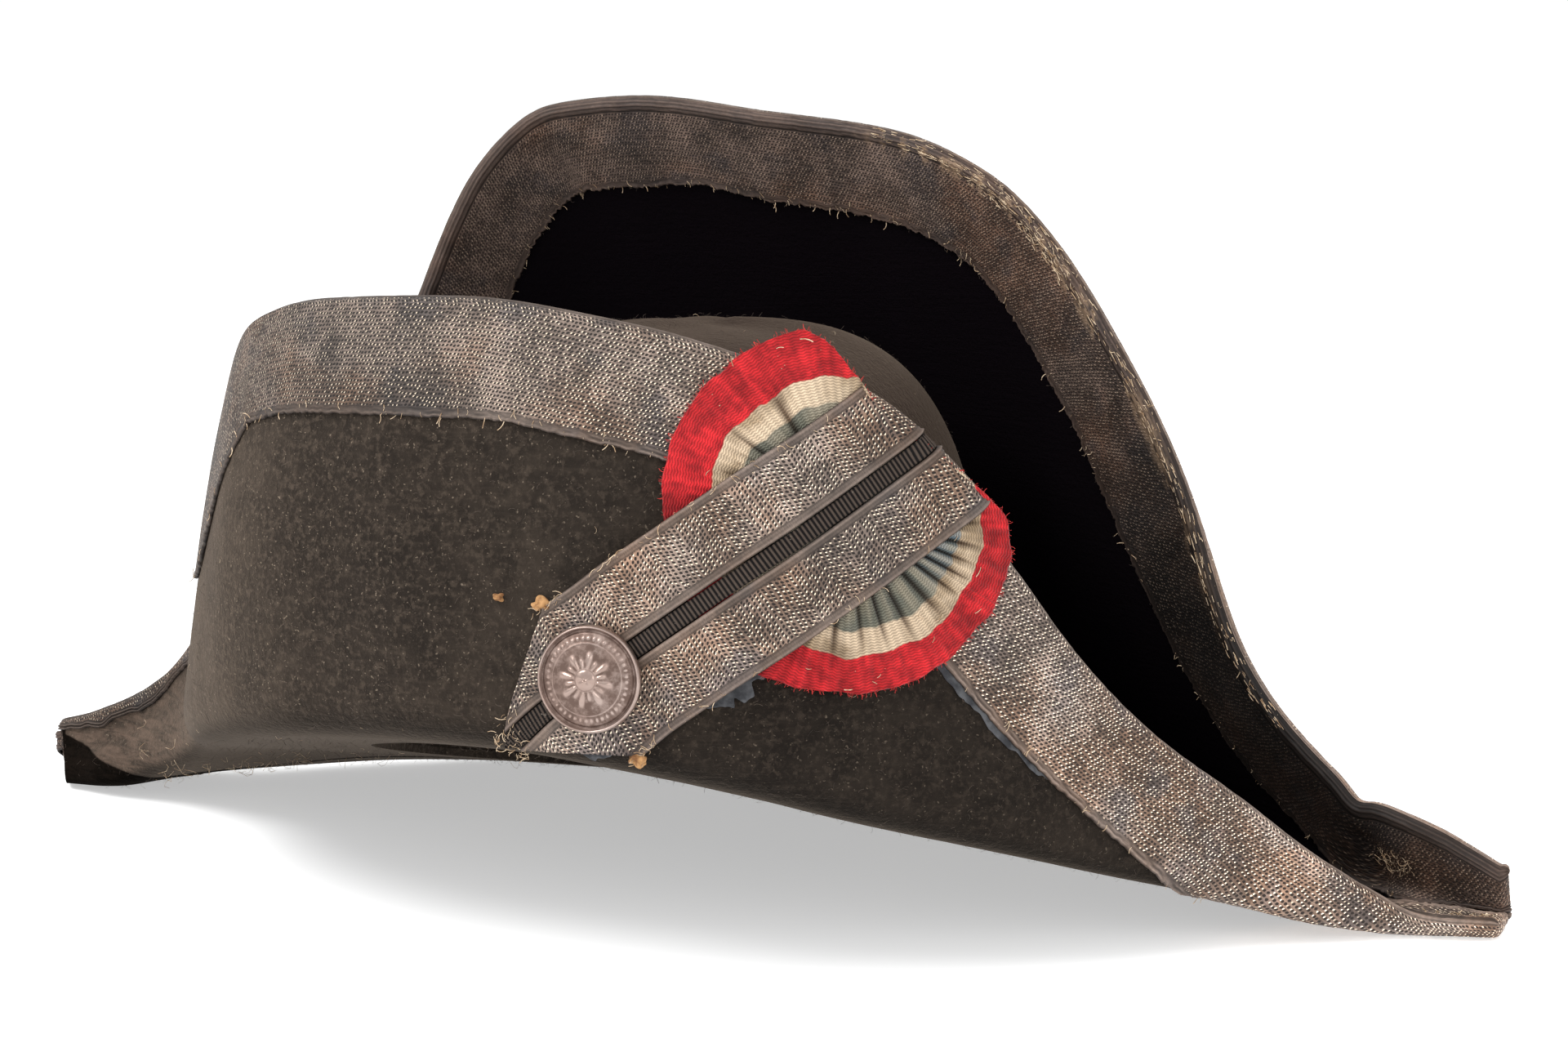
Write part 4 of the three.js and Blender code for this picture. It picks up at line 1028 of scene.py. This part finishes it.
# painted shade: the inner lace is a darker copy of the outer lace, its tone lower, darker still low down and to the
# right; painted light brightens it at the right tip and at the very bottom
innerLook = laceMaterial("laceInner", wear=0.85, tone=0.72, rimEdge=1.2, pits=0.85, specks=0.6, tint=(1.0, 0.83, 0.76), lightAndShade=(
    (2, 0.04, 0.17, 0.45, 1.0), (0, 0.10, 0.16, 1.0, 0.44), (0, 0.186, 0.200, 1.0, 2.0), (2, 0.014, 0.024, 2.2, 1.0)))
# painted light: the front's inner lace is darker to the left and brightens towards the right tip
tipLook = laceMaterial("laceInnerFront", wear=0.3, tone=0.95, fieldEdge=1.2, rimEdge=-1.8, pits=0.9, specks=0.9,
                       tint=(1.0, 0.9, 0.83), lightAndShade=((0, 0.13, 0.19, 0.4, 2.3),))
stripLook = laceMaterial("laceStrip", zigzag=7.0, wear=0.25, tone=1.45, flat=True)
ribbonLook = ribbonMaterial()
cockadeLook = cockadeMaterial()
buttonLook = buttonMaterial()
threadLook = plainMaterial("creamThread", (0.36, 0.23, 0.13), (0.76, 0.60, 0.42))
lintLook = plainMaterial("lintFibres", (0.035, 0.026, 0.020), (0.15, 0.115, 0.09), 90.0)
woolLook = plainMaterial("tanWool", (0.17, 0.075, 0.028), (0.44, 0.24, 0.10), 500.0)
backingLook = plainMaterial("tornBacking", (0.030, 0.031, 0.035), (0.090, 0.092, 0.098), 300.0)
redLook = plainMaterial("redThread", (0.35, 0.02, 0.02), (0.62, 0.05, 0.04), 500.0)


def fibreTree():  # bent three-sided fibres, one on every point, along its "facing" and as long as its "size"
    tree = bpy.data.node_groups.new("fibres", "GeometryNodeTree")
    kinds = {"Points": "Geometry", "Thickness": "Float", "Curl": "Float", "Seed": "Int", "Look": "Material"}
    for name, kind in kinds.items():
        tree.interface.new_socket(name=name, in_out="INPUT", socket_type="NodeSocket" + kind)
    tree.interface.new_socket(name="Fibres", in_out="OUTPUT", socket_type="NodeSocketGeometry")
    node = nodeAdder(tree)
    given = node("NodeGroupInput").outputs
    middle = node("ShaderNodeCombineXYZ", {0: given["Curl"], 2: 0.5}).outputs[0]
    bent = node("GeometryNodeCurveQuadraticBezier", {"Resolution": 3, "Start": (0, 0, 0), "Middle": middle,
                                                     "End": (0, 0, 1)})
    ring = node("GeometryNodeCurvePrimitiveCircle", {"Resolution": 3, "Radius": given["Thickness"]}, mode="RADIUS")
    fibre = node("GeometryNodeCurveToMesh", {"Curve": bent.outputs[0], "Profile Curve": ring.outputs[0], "Fill Caps": True})
    facing = node("GeometryNodeInputNamedAttribute", {"Name": "facing"}, data_type="FLOAT_VECTOR").outputs[0]
    size = node("GeometryNodeInputNamedAttribute", {"Name": "size"}, data_type="FLOAT").outputs[0]
    aim = node("FunctionNodeAlignRotationToVector", {"Vector": facing}, axis="Z").outputs[0]
    spin = node("FunctionNodeRandomValue", {2: 0.0, 3: 2 * math.pi, "Seed": given["Seed"]}, data_type="FLOAT").outputs[1]
    turn = node("FunctionNodeEulerToRotation", {0: node("ShaderNodeCombineXYZ", {2: spin}).outputs[0]}).outputs[0]
    turned = node("FunctionNodeRotateRotation", {0: aim, 1: turn}, rotation_space="LOCAL").outputs[0]
    scale = node("ShaderNodeCombineXYZ", {0: size, 1: size, 2: size}).outputs[0]
    grown = node("GeometryNodeInstanceOnPoints", {"Points": given["Points"], "Instance": fibre.outputs[0],
                                                  "Rotation": turned, "Scale": scale})
    real = node("GeometryNodeRealizeInstances", {0: grown.outputs[0]})
    dressed = node("GeometryNodeSetMaterial", {"Geometry": real.outputs[0], "Material": given["Look"]})
    node("NodeGroupOutput", {0: dressed.outputs[0]})
    return tree


fibres = fibreTree()


def growFibres(name, points, facing, length, look, thickness=0.02, curl=0.3, seed=1):
    mesh = bpy.data.meshes.new(name)
    mesh.from_pydata(toMetres(points).tolist(), [], [])
    ways = mesh.attributes.new("facing", "FLOAT_VECTOR", "POINT").data
    ways.foreach_set("vector", unit(facing).astype(np.float32).ravel())
    sizes = mesh.attributes.new("size", "FLOAT", "POINT").data
    sizes.foreach_set("value", (np.asarray(length) / 1000).astype(np.float32))
    obj = bpy.data.objects.new(name, mesh)
    bpy.context.scene.collection.objects.link(obj)
    modifier = obj.modifiers.new("fibres", "NODES")
    modifier.node_group = fibres
    socket = {s.name: s.identifier for s in fibres.interface.items_tree if s.in_out == "INPUT"}
    for key, value in (("Thickness", thickness), ("Curl", curl), ("Seed", seed), ("Look", look)):
        modifier[socket[key]] = value
    result = bpy.data.meshes.new_from_object(obj.evaluated_get(bpy.context.evaluated_depsgraph_get()))
    obj.modifiers.clear()
    obj.data = result
    print(name, len(result.polygons), "faces")
    return obj


nap = {  # how many, how far they stand off the felt, their lengths, and the rest of what growFibres takes
    "feltNap": {"count": 7600, "stand": (0.15, 0.75), "length": (0.9, 2.3), "look": lintLook, "thickness": 0.016,
                "curl": 0.35, "seed": 3},
    "feltLint": {"count": 170, "stand": (0.03, 0.3), "length": (0.7, 2.4), "look": threadLook, "thickness": 0.022,
                 "curl": 0.7, "seed": 4},
    "feltCurls": {"count": 90, "stand": (0.15, 0.6), "length": (2, 5.5), "look": threadLook, "thickness": 0.012,
                  "curl": 0.9, "seed": 5},
}


def feltSites(count, seed, weigh):  # random places on the felt's outer side, with their normals, in millimetres
    rng = np.random.default_rng(seed)
    co, tri = pointsAndTriangles(feltBody.data)
    inner = np.empty(len(co))
    feltBody.data.attributes["inner"].data.foreach_get("value", inner)
    p = fromMetres(co)[tri]
    normal = np.cross(p[:, 1] - p[:, 0], p[:, 2] - p[:, 0])
    area = np.linalg.norm(normal, axis=1)
    chance = area * (inner[tri].max(1) < 0.5) * weigh(p.mean(1), unit(normal)) * (p[..., 2].min(1) > 2.6)
    pick = rng.choice(len(tri), count, p=chance / chance.sum())
    r = rng.random((count, 2))
    r = np.where(r.sum(1, keepdims=True) > 1, 1 - r, r)
    at = p[pick, 0] + (p[pick, 1] - p[pick, 0]) * r[:, :1] + (p[pick, 2] - p[pick, 0]) * r[:, 1:]
    return rng, at, unit(normal[pick])


def leaning(rng, normal, low, high):  # directions that stand off the surface by low to high, as a sine
    way = rng.normal(size=normal.shape)
    way = unit(way - normal * dot(way, normal)[:, None])
    lift = rng.uniform(low, high, len(normal))[:, None]
    return way * np.sqrt(1 - lift ** 2) + normal * lift


def growNap(name, count, stand, length, seed, **more):
    def weigh(p, n):  # more of them where the camera looks, and the curls only by the left horn
        seen = np.where(n @ np.array([0.43, -0.89, 0.13]) > -0.15, 1.0, 0.25)
        if name == "feltCurls":
            seen = seen * bump(p[:, 0] + 150, 26) * bump(p[:, 2] - 12, 11)
        return seen
    rng, at, normal = feltSites(count, 38 + seed, weigh)
    return growFibres(name, at, leaning(rng, normal, *stand), rng.uniform(*length, len(at)), seed=seed, **more)


napFibres = [growNap(name, **wish) for name, wish in nap.items()]

# Threads on the lace: span is the range of stations, columns the range of columns from the rim or, if negative, from the
# margin. cross, along and lift weigh the ways they point, and roll turns them round the felt's edge.
laceLoose = {
    "laceTuftsFront": {"strip": "edgeLaceFront", "count": 90, "span": (-112, 205), "columns": (-3, 0),
                       "length": (0.8, 2.8), "seed": 51, "thickness": 0.045},
    "laceTuftsRear": {"strip": "edgeLaceRearInside", "count": 230, "span": (-190, 200), "columns": (-3, 0),
                      "length": (0.7, 2.6), "seed": 52, "thickness": 0.05},
    "laceScrapsRear": {"strip": "edgeLaceRearInside", "count": 700, "span": (-190, 205), "columns": (-14, 0),
                       "length": (0.5, 1.6), "seed": 53, "look": lintLook, "along": 0.8, "lift": 0.15},
    "laceCoreRear": {"strip": "edgeLaceRearInside", "count": 900, "span": (30, 150), "columns": (0, 3),
                     "length": (0.8, 2.6), "seed": 54, "cross": 0.05, "along": 1.0, "lift": 0.02, "roll": 1.45,
                     "thickness": 0.055, "curl": 0.06},
    "laceCoreCluster": {"strip": "edgeLaceRearInside", "count": 380, "span": (56, 80), "columns": (0, 6),
                        "length": (0.7, 2.2), "seed": 55, "cross": 0.25, "along": 1.0, "lift": 0.04, "roll": 1.45,
                        "thickness": 0.07, "curl": 0.1},
    "laceStitchesTip": {"strip": "edgeLaceFrontInside", "count": 60, "span": (190, 217), "columns": (3, 26),
                        "length": (1.5, 3.2), "seed": 56, "cross": 0.9, "along": 0.5, "lift": 0.2, "thickness": 0.05,
                        "curl": 0.2},
    "laceFrayTip": {"strip": "edgeLaceRearInside", "count": 60, "span": (186, 193), "columns": (18, 30),
                    "length": (0.8, 2.4), "seed": 57, "cross": 0.8, "along": 0.7, "lift": 0.2},
}


def laceThreads(name, strip, count, span, columns, length, seed, look=threadLook, cross=1.0, along=0.3, lift=0.25, roll=0.0,
                thickness=0.03, curl=0.3):
    rng = np.random.default_rng(seed)
    where = lacePlaces[strip]
    row = rng.choice(np.flatnonzero((where["x"][:, -1] > span[0]) & (where["x"][:, -1] < span[1])), count)
    column = rng.integers(columns[0], columns[1], count)
    column = np.where(column < 0, where["x"].shape[1] + column, where["lip"] + column)
    x, v, down = where["x"][row, column], where["v"][row, column], where["down"][row]
    out = feltFrame(x, v)[2] * where["side"]
    after = np.minimum(row + 1, len(where["x"]) - 1)
    run = unit(feltPoint(where["x"][after, column], where["v"][after, column]) - feltPoint(x, v) + 1e-9)
    angle = rng.uniform(0, roll, count)[:, None]
    at = feltPoint(x, v) + (where["top"] + 0.12) * (out * np.cos(angle) - down * np.sin(angle))
    facing = (down * cross * rng.choice([-1, 1], count)[:, None] * rng.uniform(0.4, 1, count)[:, None]
              + run * (along * rng.normal(size=count))[:, None] + out * (lift * rng.random(count))[:, None])
    return growFibres(name, at, facing, rng.uniform(*length, count), look, thickness, curl, seed)


laceFray = {name: laceThreads(name, **wish) for name, wish in laceLoose.items()}

strays = {"side": 60, "corner": 40, "end": 50, "fray": 420, "stitches": 46}  # how many threads, loop first and then cockade


def stripThreads():  # frayed ends and stray threads along the loop's sides
    rng = np.random.default_rng(61)
    beside, end = strays["side"] + strays["corner"], strays["end"]
    count = beside + end
    side = rng.choice([-1, 1], count)
    straight = loop["length"] - loop["point"]
    t = np.concatenate([rng.uniform(8, straight, strays["side"]), straight + rng.normal(0, 1.6, strays["corner"]),
                        loop["length"] + rng.normal(-3, 2.5, end)])
    b = side * np.concatenate([np.full(beside, loop["halfWidth"] - 0.2), rng.uniform(0, 5.5, end)])
    x, v = loopPlace(t, b)
    _, _, out = feltFrame(x, v)
    way = loopHeading(t)
    across = unit(np.cross(way, out)) * np.sign(-b)[:, None]
    facing = (across * rng.uniform(-0.3, 1, count)[:, None] + way * (0.8 * rng.normal(size=count) + 0.3)[:, None]
              + out * rng.uniform(0, 0.4, count)[:, None])
    at = lifted(x, v, loopLift(t) + loop["thickness"])
    return growFibres("loopThreads", at, facing, rng.uniform(0.8, 2.6, count), threadLook, 0.04, 0.4, 6)


def cockadeThreads():  # the rosette's frayed rim, and a few pale stitches round the loop
    sides, rings = cockade["sides"], cockade["rings"]
    co = fromMetres(pointsAndTriangles(rosette.data)[0][:sides * rings].reshape(sides, rings, 3))
    rng = np.random.default_rng(71)
    count = strays["fray"]
    i = rng.integers(0, sides, count)
    outward = unit(co[i, rings - 1] - co[i, rings - 6])
    facing = unit(outward + 0.5 * rng.normal(size=(count, 3)))
    red = growFibres("cockadeFray", co[i, rings - 1] - outward * 0.3, facing, rng.uniform(0.5, 1.6, count), redLook,
                     0.05, 0.3, 7)
    count = strays["stitches"]
    i, j = rng.integers(0, sides, count), rng.integers(rings // 2, rings - 1, count)
    facing = unit(co[(i + 3) % sides, j] - co[i, j]) + 0.4 * rng.normal(size=(count, 3))
    pale = growFibres("cockadeStitches", co[i, j], facing, rng.uniform(1.5, 4.5, count) * 0.7, threadLook, 0.05, 0.25, 8)
    return red, pale


loopFray = stripThreads()
cockadeFray, cockadeStitches = cockadeThreads()


def lump(name, centre, size, seed, sides=26, rings=16):  # a small wad of wool
    a = np.linspace(0, 2 * math.pi, sides, endpoint=False)[:, None]
    e = np.linspace(-math.pi / 2, math.pi / 2, rings + 2)[1:-1][None]
    d = np.stack([np.cos(a) * np.cos(e), np.sin(a) * np.cos(e), np.sin(e) + 0 * a], -1)
    rng = np.random.default_rng(seed)
    k = rng.normal(size=(6, 3)) * 3.2
    r = 1 + 0.16 * sum(np.sin(d @ q + rng.uniform(0, 6)) for q in k)
    ends = np.array([[0, 0, -1.0], [0, 0, 1.0]])
    points = np.concatenate([(d * r[..., None]).reshape(-1, 3), ends]) * np.array(size) + centre
    faces = gridFaces(sides, rings, wrap=True)
    for i in range(sides):
        j = (i + 1) % sides
        faces.append((sides * rings, j * rings, i * rings))
        faces.append((i * rings + rings - 1, j * rings + rings - 1, sides * rings + 1))
    return closedOutward(newMesh(name, points, faces), tangled=True)


def onLoop(t, b, h):
    x, v = loopPlace(np.array([float(t)]), np.array([float(b)]))
    return lifted(x, v, loopLift(np.array([float(t)])) + h)[0]


corner = loop["length"] - loop["point"]
wool = {  # how far down the loop, how far beside it, how high, its size and its seed
    "woolUpper": (corner + 1, loop["halfWidth"] + 0.6, 0.6, (2.2, 1.5, 1.3), 81),
    "woolLower": (corner + 2, -loop["halfWidth"] + 0.2, 0.6, (2.3, 1.5, 1.4), 82),
    "woolSmall": (corner + 9, loop["halfWidth"] + 8, -0.4, (1.1, 0.9, 0.8), 83),
}
wads = [lump(name, onLoop(t, b, h), size, seed) for name, (t, b, h, size, seed) in wool.items()]


def besideLoop(t, s):
    return loopPlace(t, -loop["halfWidth"] - s)


def besidePoint(t, s):
    return loopPlace(t, -(loop["length"] - t) / loop["point"] * loop["halfWidth"] - s - 0.4)


def besideLace(t, s):  # t is a station and s the distance past the front lace's margin
    where = lacePlaces["edgeLaceFront"]
    x, v = where["x"][:, -1], where["v"][:, -1]
    order = np.argsort(x)
    return t, np.interp(t, x[order], v[order]) + s


backing = {  # torn scraps: the way they run, how far they hang out, and how high over the felt
    "backingLower": {"spot": besideLoop, "run": (corner - 38, corner - 17), "reach": 4.2, "height": 1.15, "seed": 91},
    "backingTip": {"spot": besidePoint, "run": (corner + 3, corner + 15), "reach": 3.0, "height": 1.15, "seed": 94},
    "backingLace": {"spot": besideLace, "run": (104, 128), "reach": 3.6, "height": 1.02, "seed": 97},
}


def tornSheet(name, spot, run, reach, height, seed, cols=9):
    t = np.linspace(run[0], run[1], int((run[1] - run[0]) / 0.4))
    ragged = 0.45 + 0.4 * wander(t, 5, seed) + 0.3 * wander(t, 1.3, seed + 1)
    out = reach * ragged * smooth(np.minimum(t - run[0], run[1] - t) / 2.5)
    s = np.linspace(-1.6, 1, cols)[None] * np.ones((len(t), 1))
    s = np.where(s > 0, s * np.maximum(out, 0.05)[:, None], s)
    x, v = spot(t[:, None] + 0 * s, s)
    curl = 0.9 * smooth(s / 2.5) * (0.5 + 0.5 * wander(t, 3, seed + 2))[:, None]
    return closedOutward(shellMesh(name, lifted(x, v, height + 0.22 + curl), lifted(x, v, height + curl)))


scraps = [tornSheet(name, **wish) for name, wish in backing.items()]
print("threads, wool and backing done")


view = {"azimuth": 26.0, "elevation": 7.5, "depth": 800.0, "focal": 3568.0, "centre": (840.0, 1045.0),
        "frame": (1920, 1277)}


def makeCamera():  # stands "depth" millimetres from the hat's middle, its centre shifted as the photograph's is
    a, e = math.radians(view["azimuth"]), math.radians(view["elevation"])
    right = np.array([math.cos(a), math.sin(a), 0])
    back = np.array([math.sin(a) * math.cos(e), -math.cos(a) * math.cos(e), math.sin(e)])
    up = np.cross(back, right)
    w, h = view["frame"]
    x = (view["centre"][0] - w / 2) / view["focal"] * view["depth"]
    y = -(view["centre"][1] - h / 2) / view["focal"] * view["depth"]
    stand = -(right * x + up * y - back * view["depth"])
    data = bpy.data.cameras.new("camera")
    data.sensor_width, data.lens = 36, view["focal"] / w * 36
    camera = bpy.data.objects.new("camera", data)
    bpy.context.scene.collection.objects.link(camera)
    m = Matrix([[*row, 0] for row in np.stack([right, up, back], 1).tolist()] + [[0, 0, 0, 1]])
    m.translation = Vector(toMetres(stand))
    camera.matrix_world = m
    bpy.context.scene.camera = camera
    return camera


camera = makeCamera()

studio = {"floorSize": 40, "floor": 0.80, "glow": 0.46, "key": 26, "fill": 8, "world": 1.02}

size = studio["floorSize"]
floorMesh = bpy.data.meshes.new("floor")
floorMesh.from_pydata([(-size, -size, 0), (size, -size, 0), (size, size, 0), (-size, size, 0)], [], [(0, 1, 2, 3)])
floor = bpy.data.objects.new("floor", floorMesh)
bpy.context.scene.collection.objects.link(floor)
surface = newMaterial("paleFloor")[-1]
floorMesh.materials.append(surface((studio["floor"],) * 3, 0.9, **{
    "Emission Color": grey(1), "Emission Strength": studio["glow"]}))


def areaLight(name, place, target, size, power):
    data = bpy.data.lights.new(name, "AREA")
    data.shape, data.size, data.energy = "DISK", size, power
    obj = bpy.data.objects.new(name, data)
    bpy.context.scene.collection.objects.link(obj)
    obj.location = place
    obj.rotation_euler = (Vector(target) - Vector(place)).to_track_quat("-Z", "Y").to_euler()


areaLight("key", (-0.9, -1.0, 1.5), (0, 0, 0.1), 0.9, studio["key"])
areaLight("fill", (1.3, -1.2, 0.9), (0, 0, 0.1), 1.2, studio["fill"])
world = bpy.data.worlds.new("world")
world.use_nodes = True
world.node_tree.nodes["Background"].inputs[0].default_value = grey(1)
world.node_tree.nodes["Background"].inputs[1].default_value = studio["world"]
bpy.context.scene.world = world
bpy.context.scene.view_settings.view_transform = "Standard"

print("camera, floor and light done")

dressed = (  # piece, the node that it stands for, its slot and its look
    (feltBody, "felt_body", "felt", feltLook),
    (frontOuter, "edge_lace_outer", "edge_lace", outerLook),
    (rearOuter, None, "edge_lace", outerLook),
    (frontInner, "edge_lace_inner", "inner_lace", tipLook),
    (rearInner, None, "inner_lace", innerLook),
    (stripUpper, "loop_strip_upper", "loop_lace", stripLook),
    (stripLower, "loop_strip_lower", "loop_lace", stripLook),
    (ribbon, "loop_ribbon", "black_ribbon", ribbonLook),
    (rosette, "cockade", "cockade_ribbon", cockadeLook),
    (buttonFace, "button", "button_metal", buttonLook),
    *((wad, None, "loop_lace", woolLook) for wad in wads),
    *((scrap, None, slot, backingLook) for scrap, slot in zip(scraps, ("loop_lace", "loop_lace", "edge_lace"))),
)
for obj, node, slot, look in dressed:
    place(obj, node, slot)
    obj.data.materials.clear()
    obj.data.materials.append(look)
frontFray = laceFray.pop("laceTuftsFront")
for slot, pieces in (("felt", napFibres), ("edge_lace", [frontFray]), ("inner_lace", laceFray.values()),
                     ("cockade_ribbon", (cockadeFray, cockadeStitches)), ("loop_lace", [loopFray])):
    for obj in pieces:  # their look came with the fibres
        place(obj, None, slot)
